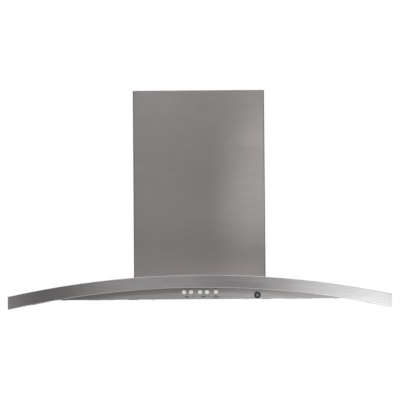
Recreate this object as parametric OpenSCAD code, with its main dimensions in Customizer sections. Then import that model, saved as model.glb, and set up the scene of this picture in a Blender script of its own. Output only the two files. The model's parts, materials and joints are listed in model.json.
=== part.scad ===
// Island chimney range hood, hung from the ceiling by a telescopic frame.
// Front faces -Y, +X is to the right, +Z is up, and the ceiling is at Z = 0.

/* [Canopy] */
// Width of the canopy, side to side
canopy_w = 900; // [860:10:1000]
// Depth of the canopy, front to back
canopy_d = 650; // [640:10:700]
// Rise of the canopy's arch from its ends to its crown
canopy_rise = 48; // [30:1:56]
// Height of the band round the canopy's edge
band_h = 30; // [24:1:38]
// Thickness of the canopy's sheet
canopy_t = 1.2; // [0.8:0.1:1.5]
// Radius of the bend between the canopy's top and its long bands
bend_r = 2.4; // [2:0.2:4]
// Width of the hem turned in under the band
hem_w = 8; // [5:1:10]
// Thickness of the liner under each wing
liner_t = 1; // [0.8:0.1:1.5]

/* [Housing] */
// Width of each wing of the canopy, beyond the housing
wing_w = 100; // [80:5:110]
// Depth of the housing's flat bottom below the canopy's crown
housing_drop = 57.2; // [56:0.2:64]
// Distance from the canopy's front edge back to the control fascia
fascia_recess = 14; // [11:1:18]
// Thickness of the housing's sheet
housing_t = 1.2; // [1:0.1:1.5]
// Width of the flange that the fascias and side panels turn in
return_w = 14; // [12:1:18]

/* [Chimney covers] */
// Width of the lower cover
chimney_w = 320; // [310:2:340]
// Depth of the lower cover
chimney_d = 290; // [290:2:310]
// Height of the lower cover above the canopy's crown
chimney_h = 446; // [440:2:500]
// Thickness of the covers' sheet
cover_t = 1; // [0.8:0.1:1.2]
// Outer radius of the covers' upright bends
cover_r = 3; // [2:0.5:5]
// Strip of the upper cover that shows above the lower one when closed up
cover_reveal = 3; // [2:1:20]
// Gap between the lower cover and the upper cover inside it
cover_gap = 2; // [1.8:0.1:3]
// Width of the strip behind each upright seam
lap_w = 24; // [16:2:40]
// Thickness of the strip behind each upright seam
lap_t = 0.8; // [0.6:0.1:1]
// Width of the lip on which the lower cover stands
cover_lip = 5.5; // [5:0.5:6]

/* [Ceiling frame] */
// Thickness of the ceiling plate
plate_t = 3; // [2:0.5:5]
// Side of the square duct opening in the ceiling plate
duct_opening = 210; // [180:5:216]
// Spacing of the ceiling holes along X
ceiling_hole_x = 240; // [230:5:250]
// Spacing of the ceiling holes along Y
ceiling_hole_y = 224; // [218:2:226]
// Diameter of the ceiling holes
ceiling_hole_d = 8.5; // [6.5:0.5:10]
// Height of the plate's side flanges
flange_h = 28; // [24:1:40]
// Length of the plate's side flanges
flange_l = 190; // [160:5:200]
// Width of the upper legs' angle section
leg_w = 25; // [22:1:28]
// Thickness of the legs' angle section
leg_t = 2; // [1.5:0.5:2.5]
// Gap between the upper cover and the legs, for the bolt heads
leg_inset = 5; // [4.5:0.5:7]
// Clearance between the upper and lower legs
leg_gap = 0.4; // [0.3:0.1:0.6]
// Height that the frame's feet and the upper cover keep above the crown
foot_clear = 19; // [15:1:24]
// Depth of the height bolts below the ceiling when closed up
bolt_depth = 90; // [70:5:95]
// Length of the upper legs below the end of their slots
leg_end = 36; // [24:1:80]
// Diameter of the height bolts
bolt_d = 6; // [5:0.5:6]
// Side play of the height bolts in their slots
slot_play = 0.8; // [0.6:0.1:1.2]
// Thickness of the base ring
ring_t = 3; // [2:0.5:4]
// Distance that the base ring reaches out past the chimney
ring_reach = 10; // [8:1:20]
// Height of the cross rails
rail_h = 20; // [16:1:22]
// Width of the cross rails
rail_w = 20; // [18:1:24]

/* [Blower] */
// Height of the blower box
blower_h = 235; // [230:1:250]
// Gap between the blower box and the lower legs
blower_gap = 2.6; // [2:0.2:4]
// Thickness of the blower box's sheet
box_t = 1; // [0.8:0.1:1.5]
// Width of the lip round the blower box's open bottom
box_lip = 8; // [6:1:10]
// Outer radius of the blower wheel
wheel_r = 60; // [56:1:62]
// Width of the blower wheel
wheel_w = 110; // [100:2:116]
// Number of blades on the wheel
blade_count = 28; // [20:1:36]
// Height of the wheel's axis above the base ring
wheel_rise = 105; // [100:1:108]
// Gap between the scroll and the blower box's rear wall
scroll_gap = 5.7; // [2:0.1:10]
// Growth of the scroll's radius from its tongue to its outlet
scroll_growth = 34; // [30:1:35]
// Width of the scroll
scroll_w = 132; // [128:1:140]
// Thickness of the scroll's walls
scroll_t = 1.5; // [1.2:0.1:2]
// Radius of the scroll's two inlets
inlet_r = 50; // [48:1:52]
// Radius of the motor
motor_r = 38; // [34:1:40]
// Length of the motor
motor_l = 62; // [58:1:70]
// Diameter of the motor's shaft
shaft_d = 8; // [6:0.5:10]
// Radius of the motor's capacitor
capacitor_r = 14; // [12:1:16]
// Height of the motor's capacitor
capacitor_h = 55; // [40:5:70]

/* [Outlet] */
// Outer radius of the outlet collar
collar_r = 75; // [70:1:76]
// Wall of the outlet collar
collar_t = 1; // [0.8:0.1:1.5]
// Height of the outlet collar
collar_h = 45; // [40:1:60]
// Width of the collar's flange
collar_flange = 16; // [12:1:18]
// Height of the damper's pin above the blower box
pin_rise = 18; // [14:1:24]
// Diameter of the damper's pin
pin_d = 4; // [3:0.5:5]
// Thickness of the damper flaps
flap_t = 1; // [0.8:0.1:1.2]
// Gap between a damper flap and the collar
flap_gap = 1.5; // [1:0.1:2]

/* [Mains entry] */
// Width of the junction box
junction_w = 50; // [46:1:56]
// Depth of the junction box
junction_d = 48; // [46:1:50]
// Height of the junction box
junction_h = 36; // [30:1:45]
// Wall of the junction box
junction_t = 1.5; // [1:0.1:2]
// Diameter of the cable entry
cable_hole_d = 22; // [16:1:24]

/* [Grease filters] */
// Distance from the housing's side to the grease filter beside it
filter_inset = 38.5; // [24:0.5:60]
// Depth of each grease filter
filter_d = 330; // [300:5:344]
// Thickness of the grease filters
filter_t = 9; // [8:0.5:10]
// Width of the filter frame's sides
filter_rim = 14; // [12:1:18]
// Width of the filter frame's front rail, which holds the latch
filter_rail = 36; // [34:1:44]
// Gap beside and in front of a filter in its opening
filter_gap = 1.5; // [1.2:0.1:2]
// Gap behind a filter, where its rear edge swings
filter_swing_gap = 2.6; // [2.4:0.1:3.2]
// Width of the web between the two filter openings
web_w = 20; // [16:1:26]
// Height of the edge turned up round each filter opening
seat_h = 12; // [11:1:16]
// Distance from a filter's rear edge to its hinge lugs
lug_back = 6; // [5:0.5:8]
// Diameter of a filter's hinge lugs
lug_d = 5; // [4:0.5:6]
// Number of lower baffles in a filter
baffle_count = 10; // [8:1:12]
// Width of one baffle
baffle_w = 20; // [18:0.5:21]
// Thickness of the baffles' sheet
baffle_t = 0.7; // [0.5:0.1:0.8]
// Gap between the lower and the upper baffles
baffle_gap = 0.8; // [0.6:0.1:2]
// Width of a filter's latch
latch_w = 42; // [34:1:50]
// Depth of a filter's latch plate
latch_d = 24; // [22:0.5:25]
// Travel of a filter's latch
latch_travel = 6; // [4:0.5:6]

/* [Lamps] */
// Distance from the housing's side to the lamps
lamp_inset = 115; // [90:5:135]
// Radius of a lamp's bezel
bezel_r = 35; // [33:0.5:38]
// Thickness of a lamp's bezel
bezel_t = 1.5; // [1:0.1:2]
// Radius of a lamp's cup
cup_r = 30; // [29:0.5:31]
// Height of a lamp's cup
cup_h = 15; // [14:0.5:18]
// Radius of the clear opening in a lamp's bezel
lens_open_r = 25; // [22:0.5:26]
// Thickness of a lamp's lens
lens_t = 2.5; // [2:0.1:3]
// Radius of a lamp's bulb
bulb_r = 4; // [3:0.5:4.5]

/* [Controls] */
// Diameter of the push buttons
button_d = 10.5; // [9:0.5:12]
// Height of the buttons above the fascia
button_proud = 3; // [2.4:0.1:4]
// Travel of the push buttons
button_travel = 2; // [1:0.1:2.2]
// Height of the button row above the housing's bottom
button_rise = 16.9; // [14:0.1:19]
// Places of the buttons along X, from left to right
button_x = [-37.5, -21, 0, 16.5, 37.5];
// Width of the box behind the buttons
control_w = 124; // [110:2:140]
// Depth of the box behind the buttons
control_d = 48; // [40:1:60]
// Height of the box behind the buttons
control_h = 30; // [29:0.5:33]
// Depth of the block that guides the buttons
bank_d = 14; // [13:0.5:18]
// Diameter of the plain round badge
badge_d = 15.5; // [12:0.5:17]
// Place of the badge along X
badge_x = 135; // [110:5:160]
// Height of the badge above the housing's bottom
badge_rise = 8.7; // [8.6:0.1:12]
// Thickness of the badge
badge_t = 1.6; // [1:0.1:2.5]

/* [Hidden] */

arch_fn = 720;
round_fn = 64;
hex_fn = 6;
bend_steps = 6;
past = 1;
sides = [-1, 1];
fit_gap = 0.1;
lay_gap = 0.2;
running_gap = 0.05;

steel = "#b8bcc0";
zinc = "#9aa0a4";
alloy = "#c9ccd0";
dark = "#3b3e42";
white = "#f2f2ef";

// Places of the canopy and the housing
crown_z = -(chimney_h + cover_reveal);
arch_r = (pow(canopy_w / 2, 2) + pow(canopy_rise, 2)) / (2 * canopy_rise);
housing_z = crown_z - housing_drop;
pan_top_z = housing_z + housing_t;
side_x = canopy_w / 2 - wing_w;
fascia_y = canopy_d / 2 - fascia_recess;
inner_x = side_x - housing_t;
inner_y = fascia_y - housing_t;

// Places of the covers, legs and blower box, from the chimney inwards
upper_w = chimney_w - 2 * (cover_t + cover_gap);
upper_d = chimney_d - 2 * (cover_t + cover_gap);
plate_w = upper_w - 2 * (cover_t + fit_gap);
plate_d = upper_d - 2 * (cover_t + fit_gap);
leg_x = upper_w / 2 - cover_t - leg_inset;
leg_y = upper_d / 2 - cover_t - leg_inset;
low_leg_x = leg_x - leg_t - leg_gap;
low_leg_y = leg_y - leg_t - leg_gap;
low_leg_w = leg_w - leg_t - leg_gap;
foot_z = crown_z + foot_clear;
bolt_y = leg_y - (leg_w + leg_t + leg_gap) / 2;
bolt_z = -bolt_depth;
leg_head = 20;
slot_spare = 4;
slot_low = foot_z + leg_end;
slot_high = bolt_z + slot_spare;
slot_w = bolt_d + slot_play;
bolt_head_r = bolt_d / 2 + 2;
bolt_head_h = 3;
nut_r = bolt_d / 2 + 2.5;
nut_h = 4;
box_w = 2 * (low_leg_x - leg_t - blower_gap);
box_d = 2 * (low_leg_y - leg_t - blower_gap);
skin_open_inset = 7;
screw_from_edge = 3.6;

// Base ring and cross rails
ring_x = chimney_w / 2 + ring_reach;
ring_y = chimney_d / 2 + ring_reach;
ring_gap = 1.2;
ring_z = arch_z(ring_x, canopy_t) - ring_gap;
rail_t = 2;
rail_z = ring_z - ring_t;

// Blower and outlet
box_top_z = ring_z + blower_h;
wheel_z = ring_z + wheel_rise;
tongue_gap = 6;
tongue_angle = 130;
scroll_sweep = 310;
scroll_steps = 31;
scroll_r = wheel_r + tongue_gap;
wheel_back = box_d / 2 - box_t - scroll_gap - scroll_radius(tongue_angle);
outlet_ahead = 4;
outlet_y = wheel_back - scroll_r - scroll_growth;
ring_wall = 12;
wheel_sheet = 2;
hub_r = 10;
hub_l = 18;
blade_t = 1;
blade_lean = 35;
motor_x = 10;
shaft_in = 44;
shaft_r = shaft_d / 2;
bracket_t = 3;
bracket_ring = 7;
bracket_arm_w = 12;
bracket_reach = 10;
flange_t = 1.5;
pin_r = pin_d / 2;
knuckle_r = pin_r + 2;
knuckle_count = 6;
knuckle_l = 20;
knuckle_play = 0.5;
pin_z = box_top_z + pin_rise;
junction_inset_x = 26.5;
junction_inset_y = 4;
junction_x = box_w / 2 - junction_inset_x - junction_w / 2;
junction_y = box_d / 2 - junction_inset_y - junction_d / 2;
cable_ahead = 8.5;
wire_hole_r = 6;
cap_gap = 0.2;
cap_inset = 34;
cap_y = cap_inset - box_d / 2;
cap_rise = 60;

// Filters and their openings in the pan
filter_w = side_x - filter_inset - filter_gap - web_w / 2;
filter_x = web_w / 2 + filter_gap + filter_w / 2;
lug_z = housing_z + filter_t / 2;
lug_y = filter_d / 2 - lug_back;
lug_past = 1.5;
lug_l = filter_gap + housing_t + lug_past;
open_front = filter_d / 2 + filter_gap;
open_rear = filter_d / 2 + filter_swing_gap;
open_w = filter_w + 2 * filter_gap;
baffle_span = filter_w - 2 * filter_rim;
baffle_pitch = baffle_span / baffle_count;
baffle_h = (filter_t - baffle_gap) / 2;
baffle_l = filter_d - filter_rim - filter_rail;
latch_low = 2.6;
latch_h = 3.4;
latch_tip = 1.1;
latch_play = 0.3;
grip_w = 26;
// Distance from a filter's front edge to its latch's grip
latch_grip_y = 8;
grip_d = 9;
grip_proud = 2;
keeper_gap = 1.5;

// Lamps, controls and small parts
lamp_y = ((open_front + open_rear) / 2 + inner_y - return_w) / 2;
lamp_x = side_x - lamp_inset;
lamp_places = [[-lamp_x, -lamp_y], [lamp_x, -lamp_y], [-lamp_x, lamp_y], [lamp_x, lamp_y]];
cup_t = 1;
lens_play = 0.3;
bulb_l = 18;
bulb_base_w = 9;
transformer_w = 84;
transformer_d = 40;
transformer_h = 26;
control_t = 2;
control_rise = 1.5;
control_z = pan_top_z + control_rise;
bank_y = inner_y - lay_gap;
bank_back_y = bank_y - bank_d;
bank_w = control_w - 2 * (control_t + lay_gap);
bank_h = control_h - 2 * (control_t + lay_gap);
tact_r = 3;
tact_h = 2.2;
board_t = 1.6;
button_z = housing_z + button_rise;
button_r = button_d / 2;
button_hole_gap = 0.3;
button_bore_gap = 0.09;
button_edge = 0.7;
collar_step = 1.05;
collar_thick = 1.5;
counterbore = 4.4;
badge_rim = 1.6;
badge_dish = 0.6;
screw_r = 1.9;
screw_head_r = 3.5;
screw_head_h = 1.3;
screw_l = 6;
pan_screw_mid = 110;
pan_screw_inset = 30;
pan_screw_x = [pan_screw_inset - side_x, -pan_screw_mid, pan_screw_mid, side_x - pan_screw_inset];
cover_screw_y = 62;
cover_screw_r = 1.2;
cover_screw_z = -14;

// Height of a point on the arch, at x, drop below the canopy's outside
function arch_z(x, drop) = crown_z - arch_r + sqrt(pow(arch_r - drop, 2) - pow(x, 2));

// Points of one rounded corner, from angle a to a + 90
function corner(cx, cy, r, a) = [
    for (i = [0:bend_steps]) [cx + r * cos(a + 90 * i / bend_steps), cy + r * sin(a + 90 * i / bend_steps)]
];

// Points of a rectangle with rounded corners, centred
function rounded(w, d, r) = concat(
    corner(w / 2 - r, d / 2 - r, r, 0),
    corner(r - w / 2, d / 2 - r, r, 90),
    corner(r - w / 2, r - d / 2, r, 180),
    corner(w / 2 - r, r - d / 2, r, 270)
);

// Radius of the scroll at an angle swept from its tongue
function scroll_radius(swept) = scroll_r + scroll_growth * swept / scroll_sweep;

// Points along the scroll, round the wheel's axis
function scroll_points() = [
    for (i = [0:scroll_steps])
        let (swept = scroll_sweep * i / scroll_steps, a = tongue_angle - swept)
            [wheel_back + scroll_radius(swept) * cos(a), wheel_z + scroll_radius(swept) * sin(a)]
];

// Draws a flat shape in X and Z and runs it along Y
module along_y(length) {
    rotate([90, 0, 0]) translate([0, 0, -length / 2]) linear_extrude(length) children();
}

// Draws a flat shape in Y and Z and runs it along X
module along_x(length) {
    rotate([90, 0, 90]) translate([0, 0, -length / 2]) linear_extrude(length) children();
}

// A box from one corner to the other
module span(low, high) {
    translate(low) cube(high - low);
}

// A block that follows the arch, between two depths below the canopy's outside
module arch_block(top, bottom, width, depth, r = 0) {
    outer = arch_r - top;
    inner = arch_r - bottom;
    sweep = 2 * asin(canopy_w / 2 / inner) + 4;
    section = r > 0
        ? concat([[inner, -depth / 2]], corner(outer - r, r - depth / 2, r, 270),
            corner(outer - r, depth / 2 - r, r, 0), [[inner, depth / 2]])
        : [[inner, -depth / 2], [outer, -depth / 2], [outer, depth / 2], [inner, depth / 2]];
    intersection() {
        translate([0, 0, crown_z - arch_r]) rotate([90, 0, 0]) rotate([0, 0, 90 - sweep / 2])
            rotate_extrude(angle = sweep, $fn = arch_fn) polygon(section);
        span([-width / 2, -depth, crown_z - 2 * canopy_d], [width / 2, depth, crown_z + canopy_d]);
    }
}

// Everything under the arch, down to far below the canopy
module under_arch(drop, depth) {
    translate([0, 0, crown_z - arch_r]) rotate([90, 0, 0])
        cylinder(r = arch_r - drop, h = depth, center = true, $fn = arch_fn);
}

// An upright sheet across X that ends under the arch
module arch_sheet(low_x, high_x, low_y, high_y) {
    intersection() {
        span([low_x, low_y, housing_z], [high_x, high_y, crown_z]);
        under_arch(canopy_t + lay_gap, canopy_d);
    }
}

// A square tube with rounded corners
module tube(w, d, wall, low, high) {
    translate([0, 0, low]) linear_extrude(high - low) difference() {
        polygon(rounded(w, d, cover_r));
        polygon(rounded(w - 2 * wall, d - 2 * wall, cover_r - wall));
    }
}

// One half of a chimney cover, cut at the seams in the middle of its sides
module cover_half(side, w, d, low, high, lap_low, lap_high) {
    intersection() {
        union() {
            tube(w, d, cover_t, low, high);
            children();
        }
        span([-w, side > 0 ? fit_gap : -d, low - past], [w, side > 0 ? d : -fit_gap, high + past]);
    }
    if (side > 0) for (sx = sides) {
        inside = w / 2 - cover_t;
        span([sx > 0 ? inside - lap_t : -inside, -lap_w / 2, lap_low],
            [sx > 0 ? inside : lap_t - inside, lap_w / 2, lap_high]);
    }
}

// An angle section at each corner of a rectangle, with its outer faces at x and y
module corner_angles(x, y, w, low, high) {
    for (sx = sides, sy = sides) translate([0, 0, low]) linear_extrude(high - low) polygon([
        [sx * x, sy * y], [sx * (x - w), sy * y], [sx * (x - w), sy * (y - leg_t)],
        [sx * (x - leg_t), sy * (y - leg_t)], [sx * (x - leg_t), sy * (y - w)], [sx * x, sy * (y - w)]
    ]);
}

// Holes or shanks along X at the four height bolts
module at_height_bolts() {
    for (sx = sides, sy = sides) translate([0, sy * bolt_y, bolt_z]) rotate([0, sx * 90, 0]) children();
}

module ceiling_plate() {
    flange_x = plate_w / 2;
    color(zinc) difference() {
        union() {
            translate([0, 0, -plate_t]) linear_extrude(plate_t)
                polygon(rounded(plate_w, plate_d, max(cover_r - cover_t, fit_gap)));
            for (sx = sides) span([sx > 0 ? flange_x - leg_t : -flange_x, -flange_l / 2, -flange_h],
                [sx > 0 ? flange_x : leg_t - flange_x, flange_l / 2, -plate_t / 2]);
        }
        cube([duct_opening, duct_opening, 3 * plate_t], center = true);
        for (sx = sides, sy = sides)
            translate([sx * ceiling_hole_x / 2, sy * ceiling_hole_y / 2, -2 * plate_t])
                cylinder(d = ceiling_hole_d, h = 3 * plate_t, $fn = round_fn);
        at_cover_screws() cylinder(r = screw_r + running_gap, h = upper_w, $fn = round_fn);
    }
}

module upper_legs() {
    color(zinc) difference() {
        corner_angles(leg_x, leg_y, leg_w, foot_z, -plate_t);
        for (sx = sides, sy = sides) translate([sx * (leg_x - leg_t / 2), sy * bolt_y, 0]) {
            span([-leg_t, -slot_w / 2, slot_low], [leg_t, slot_w / 2, slot_high]);
            for (z = [slot_low, slot_high]) translate([-leg_t, 0, z]) rotate([0, 90, 0])
                cylinder(d = slot_w, h = 2 * leg_t, $fn = round_fn);
        }
    }
}

// Screws at the top of the upper cover, two on each side
module at_cover_screws() {
    for (sx = sides, sy = sides) translate([0, sy * cover_screw_y, cover_screw_z])
        rotate([0, sx * 90, 0]) children();
}

module upper_cover(side) {
    color(steel) difference() {
        cover_half(side, upper_w, upper_d, foot_z, 0, foot_z, -flange_h - fit_gap);
        at_cover_screws() cylinder(r = screw_r + fit_gap, h = upper_w, $fn = round_fn);
    }
}

module upper_cover_front() { upper_cover(-1); }
module upper_cover_rear() { upper_cover(1); }

module upper_cover_screws() {
    color(steel) at_cover_screws() {
        translate([0, 0, upper_w / 2]) cylinder(r = screw_head_r, h = screw_head_h, $fn = round_fn);
        translate([0, 0, upper_w / 2 - screw_l]) cylinder(r = screw_r, h = screw_l + past, $fn = round_fn);
    }
}

// The lip that stands on the canopy, turned in along the cover's bottom edge
module cover_foot() {
    difference() {
        arch_block(-lay_gap - cover_t, -lay_gap, chimney_w - cover_t, chimney_d - cover_t);
        cube([chimney_w - 2 * (cover_t + cover_lip), chimney_d - 2 * (cover_t + cover_lip),
            4 * chimney_h], center = true);
        for (sx = sides, sy = sides)
            translate([sx * (chimney_w / 2 - screw_from_edge), sy * cover_screw_y, 0])
                cylinder(r = cover_screw_r + fit_gap, h = 4 * chimney_h, center = true, $fn = round_fn);
    }
}

module lower_cover(side) {
    low_z = arch_z(chimney_w / 2, 0) - past;
    lip_top_z = arch_z(chimney_w / 2 - cover_t - cover_lip, -lay_gap - cover_t) + fit_gap;
    color(steel) difference() {
        cover_half(side, chimney_w, chimney_d, low_z, -cover_reveal, lip_top_z, -cover_reveal - past)
            cover_foot();
        under_arch(-lay_gap, canopy_d);
    }
}

module lower_cover_front() { lower_cover(-1); }
module lower_cover_rear() { lower_cover(1); }

module lower_legs() {
    color(zinc) difference() {
        corner_angles(low_leg_x, low_leg_y, low_leg_w, ring_z, bolt_z + leg_head);
        at_height_bolts() cylinder(d = bolt_d + 2 * fit_gap, h = upper_w, $fn = round_fn);
    }
}

module height_bolts() {
    nut_x = low_leg_x - leg_t - nut_h;
    head_x = leg_x + lay_gap;
    color(steel) at_height_bolts() {
        translate([0, 0, head_x]) cylinder(r = bolt_head_r, h = bolt_head_h, $fn = round_fn);
        translate([0, 0, nut_x]) cylinder(r = nut_r, h = nut_h, $fn = hex_fn);
        translate([0, 0, nut_x]) cylinder(d = bolt_d, h = head_x - nut_x + past, $fn = round_fn);
    }
}

module base_ring() {
    open_x = box_w / 2 - box_t - box_lip;
    open_y = box_d / 2 - box_t - box_lip;
    color(zinc) difference() {
        span([-ring_x, -ring_y, ring_z - ring_t], [ring_x, ring_y, ring_z]);
        span([-open_x, -open_y, ring_z - ring_t - past], [open_x, open_y, ring_z + past]);
    }
}

module rail(sx) {
    color(zinc) mirror([sx > 0 ? 0 : 1, 0, 0]) {
        span([ring_x - rail_w, -inner_y, rail_z - rail_t], [ring_x, inner_y, rail_z]);
        span([ring_x - rail_t, -inner_y, rail_z - rail_h], [ring_x, inner_y, rail_z]);
        for (sy = sides) span([ring_x - rail_w, sy > 0 ? inner_y - rail_t : -inner_y, rail_z - rail_h],
            [ring_x, sy > 0 ? inner_y : rail_t - inner_y, rail_z]);
    }
}

module rail_left() { rail(-1); }
module rail_right() { rail(1); }

module canopy_shell() {
    hollow_w = canopy_w - 2 * canopy_t;
    hollow_d = canopy_d - 2 * canopy_t;
    open_x = chimney_w / 2 - skin_open_inset;
    open_y = chimney_d / 2 - skin_open_inset;
    color(steel) difference() {
        arch_block(0, band_h, canopy_w, canopy_d, bend_r);
        arch_block(canopy_t, band_h - canopy_t, hollow_w, hollow_d, max(bend_r - canopy_t, fit_gap));
        arch_block(band_h - 2 * canopy_t, band_h + past, canopy_w - 2 * hem_w, canopy_d - 2 * hem_w);
        span([-open_x, -open_y, crown_z - canopy_rise], [open_x, open_y, crown_z + past]);
        for (sx = sides, sy = sides)
            translate([sx * (chimney_w / 2 - screw_from_edge), sy * cover_screw_y, crown_z - canopy_rise])
                cylinder(r = cover_screw_r + fit_gap, h = canopy_rise + past, $fn = round_fn);
    }
}

module liner(sx) {
    low = band_h - canopy_t - lay_gap;
    hollow = canopy_w - 2 * (canopy_t + lay_gap);
    inner = side_x + lay_gap;
    color(steel) difference() {
        arch_block(low - liner_t, low, hollow, canopy_d - 2 * (canopy_t + lay_gap));
        span([sx > 0 ? -canopy_w : -inner, -canopy_d, crown_z - canopy_d],
            [sx > 0 ? inner : canopy_w, canopy_d, crown_z]);
    }
}

module liner_left() { liner(-1); }
module liner_right() { liner(1); }

// Places of the screws that hold the pan to the flanges above it
module at_pan_screws() {
    for (x = pan_screw_x, sy = sides) translate([x, sy * (inner_y - return_w / 2), housing_z]) children();
}

module fascia(sy) {
    flange_z = pan_top_z + fit_gap;
    color(steel) difference() {
        mirror([0, sy > 0 ? 1 : 0, 0]) union() {
            arch_sheet(-side_x, side_x, -fascia_y, -inner_y);
            span([-inner_x + fit_gap, -inner_y - housing_t / 2, flange_z],
                [inner_x - fit_gap, return_w - inner_y, flange_z + housing_t]);
        }
        at_pan_screws() cylinder(r = screw_r + fit_gap, h = screw_l, $fn = round_fn);
        if (sy < 0) {
            notch = control_w / 2 + past;
            span([-notch, -inner_y, housing_z], [notch, canopy_d, control_z + control_h]);
            for (x = button_x) translate([x, -inner_y + past, button_z]) rotate([90, 0, 0])
                cylinder(r = button_r + button_hole_gap, h = housing_t + 2 * past, $fn = round_fn);
        }
    }
}

module front_fascia() { fascia(-1); }
module rear_fascia() { fascia(1); }

module side_panel(sx) {
    flange_z = pan_top_z + fit_gap;
    flange_y = inner_y - return_w - lay_gap;
    color(steel) mirror([sx > 0 ? 0 : 1, 0, 0]) union() {
        arch_sheet(inner_x, side_x, -inner_y, inner_y);
        span([inner_x - return_w, -flange_y, flange_z],
            [inner_x + housing_t / 2, flange_y, flange_z + housing_t]);
    }
}

module side_panel_left() { side_panel(-1); }
module side_panel_right() { side_panel(1); }

// The four strips welded round a filter's opening, with the latch's slot and the hinge's holes
module filter_seat() {
    half = open_w / 2;
    low = pan_top_z + fit_gap;
    high = pan_top_z + seat_h;
    keeper = latch_w / 2 + keeper_gap;
    span([-half - housing_t, open_rear, low], [half + housing_t, open_rear + housing_t, high]);
    difference() {
        span([-half - housing_t, -open_front - housing_t, low], [half + housing_t, -open_front, high]);
        span([-keeper, -open_front - 2 * housing_t, housing_z],
            [keeper, -open_front + past, housing_z + latch_low + latch_h + keeper_gap]);
    }
    for (s = sides) difference() {
        span([s > 0 ? half : -half - housing_t, fit_gap - open_front, low],
            [s > 0 ? half + housing_t : -half, open_rear - fit_gap, high]);
        translate([-half - 2 * housing_t, lug_y, lug_z]) rotate([0, 90, 0])
            cylinder(d = lug_d + 2 * running_gap, h = open_w + 4 * housing_t, $fn = round_fn);
    }
}

module bottom_pan() {
    pan_x = inner_x - lay_gap;
    pan_y = inner_y - lay_gap;
    color(steel) {
        difference() {
            span([-pan_x, -pan_y, housing_z], [pan_x, pan_y, pan_top_z]);
            for (sx = sides) translate([sx * filter_x, 0, 0])
                span([-open_w / 2, -open_front, housing_z - past], [open_w / 2, open_rear, pan_top_z + past]);
            for (place = lamp_places) translate([place[0], place[1], housing_z - past])
                cylinder(r = cup_r + lay_gap, h = housing_t + 2 * past, $fn = round_fn);
            at_pan_screws() translate([0, 0, -past])
                cylinder(r = screw_r + fit_gap, h = screw_l, $fn = round_fn);
        }
        for (sx = sides) translate([sx * filter_x, 0, 0]) filter_seat();
    }
}

module housing_screws() {
    head_r = 2 * cover_screw_r + fit_gap;
    color(steel) {
        at_pan_screws() {
            translate([0, 0, -screw_head_h]) cylinder(r = screw_head_r, h = screw_head_h, $fn = round_fn);
            translate([0, 0, -screw_head_h / 2]) cylinder(r = screw_r, h = screw_l, $fn = round_fn);
        }
        for (sx = sides, sy = sides) {
            x = chimney_w / 2 - screw_from_edge;
            z = arch_z(x + head_r, canopy_t) - fit_gap;
            translate([sx * x, sy * cover_screw_y, 0]) {
                translate([0, 0, z - screw_head_h]) cylinder(r = head_r, h = screw_head_h, $fn = round_fn);
                translate([0, 0, z - screw_head_h / 2])
                    cylinder(r = cover_screw_r, h = screw_l, $fn = round_fn);
            }
        }
    }
}

module badge() {
    radius = badge_d / 2;
    color(dark) translate([badge_x, -fascia_y, housing_z + badge_rise]) rotate([90, 0, 0])
        rotate_extrude($fn = round_fn) polygon([
            [0, 0], [radius, 0], [radius, badge_t - badge_dish / 2], [radius - badge_dish / 2, badge_t],
            [radius - badge_rim, badge_t], [radius - badge_rim, badge_t - badge_dish],
            [0, badge_t - badge_dish]
        ]);
}

module control_box() {
    depth = control_d;
    color(dark) difference() {
        span([-control_w / 2, -inner_y, control_z], [control_w / 2, depth - inner_y, control_z + control_h]);
        span([control_t - control_w / 2, -inner_y - past, control_z + control_t],
            [control_w / 2 - control_t, depth - inner_y - control_t, control_z + control_h - control_t]);
    }
}

module switch_bank() {
    low = control_z + control_t + lay_gap;
    color(dark) difference() {
        span([-bank_w / 2, -bank_y, low], [bank_w / 2, -bank_back_y, low + bank_h]);
        for (x = button_x) translate([x, -bank_back_y, button_z]) rotate([90, 0, 0]) {
            translate([0, 0, -past])
                cylinder(r = button_r + button_bore_gap, h = bank_d + 2 * past, $fn = round_fn);
            translate([0, 0, bank_d - counterbore])
                cylinder(r = button_r + collar_step + lay_gap, h = counterbore + past, $fn = round_fn);
        }
    }
}

module circuit_board() {
    low = control_z + control_t + lay_gap;
    color("#2f5b43") {
        span([-bank_w / 2, -bank_back_y, low], [bank_w / 2, board_t - bank_back_y, low + bank_h]);
        for (x = button_x) translate([x, board_t / 2 - bank_back_y, button_z]) rotate([90, 0, 0])
            cylinder(r = tact_r, h = tact_h + board_t / 2, $fn = round_fn);
    }
}

// A push button with the step that keeps it behind the fascia
module button(number) {
    back = bank_back_y + tact_h + button_travel + lay_gap;
    step_high = bank_y - lay_gap - back;
    step_low = step_high - collar_thick;
    length = fascia_y + button_proud - back;
    color(white) translate([button_x[number - 1], -back, button_z]) rotate([90, 0, 0])
        rotate_extrude($fn = round_fn) polygon([
            [0, 0], [button_r, 0], [button_r, step_low], [button_r + collar_step, step_low],
            [button_r + collar_step, step_high], [button_r, step_high], [button_r, length - button_edge],
            [button_r - button_edge, length], [0, length]
        ]);
}

module lamp_housing(number) {
    place = lamp_places[number - 1];
    color(alloy) translate([place[0], place[1], housing_z]) rotate_extrude($fn = round_fn) polygon([
        [lens_open_r, -bezel_t], [bezel_r - bezel_t / 2, -bezel_t], [bezel_r, -bezel_t / 2], [bezel_r, 0],
        [cup_r, 0], [cup_r, cup_h], [0, cup_h], [0, cup_h - cup_t], [cup_r - cup_t, cup_h - cup_t],
        [cup_r - cup_t, 0], [lens_open_r, 0]
    ]);
}

module lamp_lens(number) {
    place = lamp_places[number - 1];
    color("#e8eef0") translate([place[0], place[1], housing_z])
        cylinder(r = cup_r - cup_t - lens_play, h = lens_t, $fn = round_fn);
}

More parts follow.
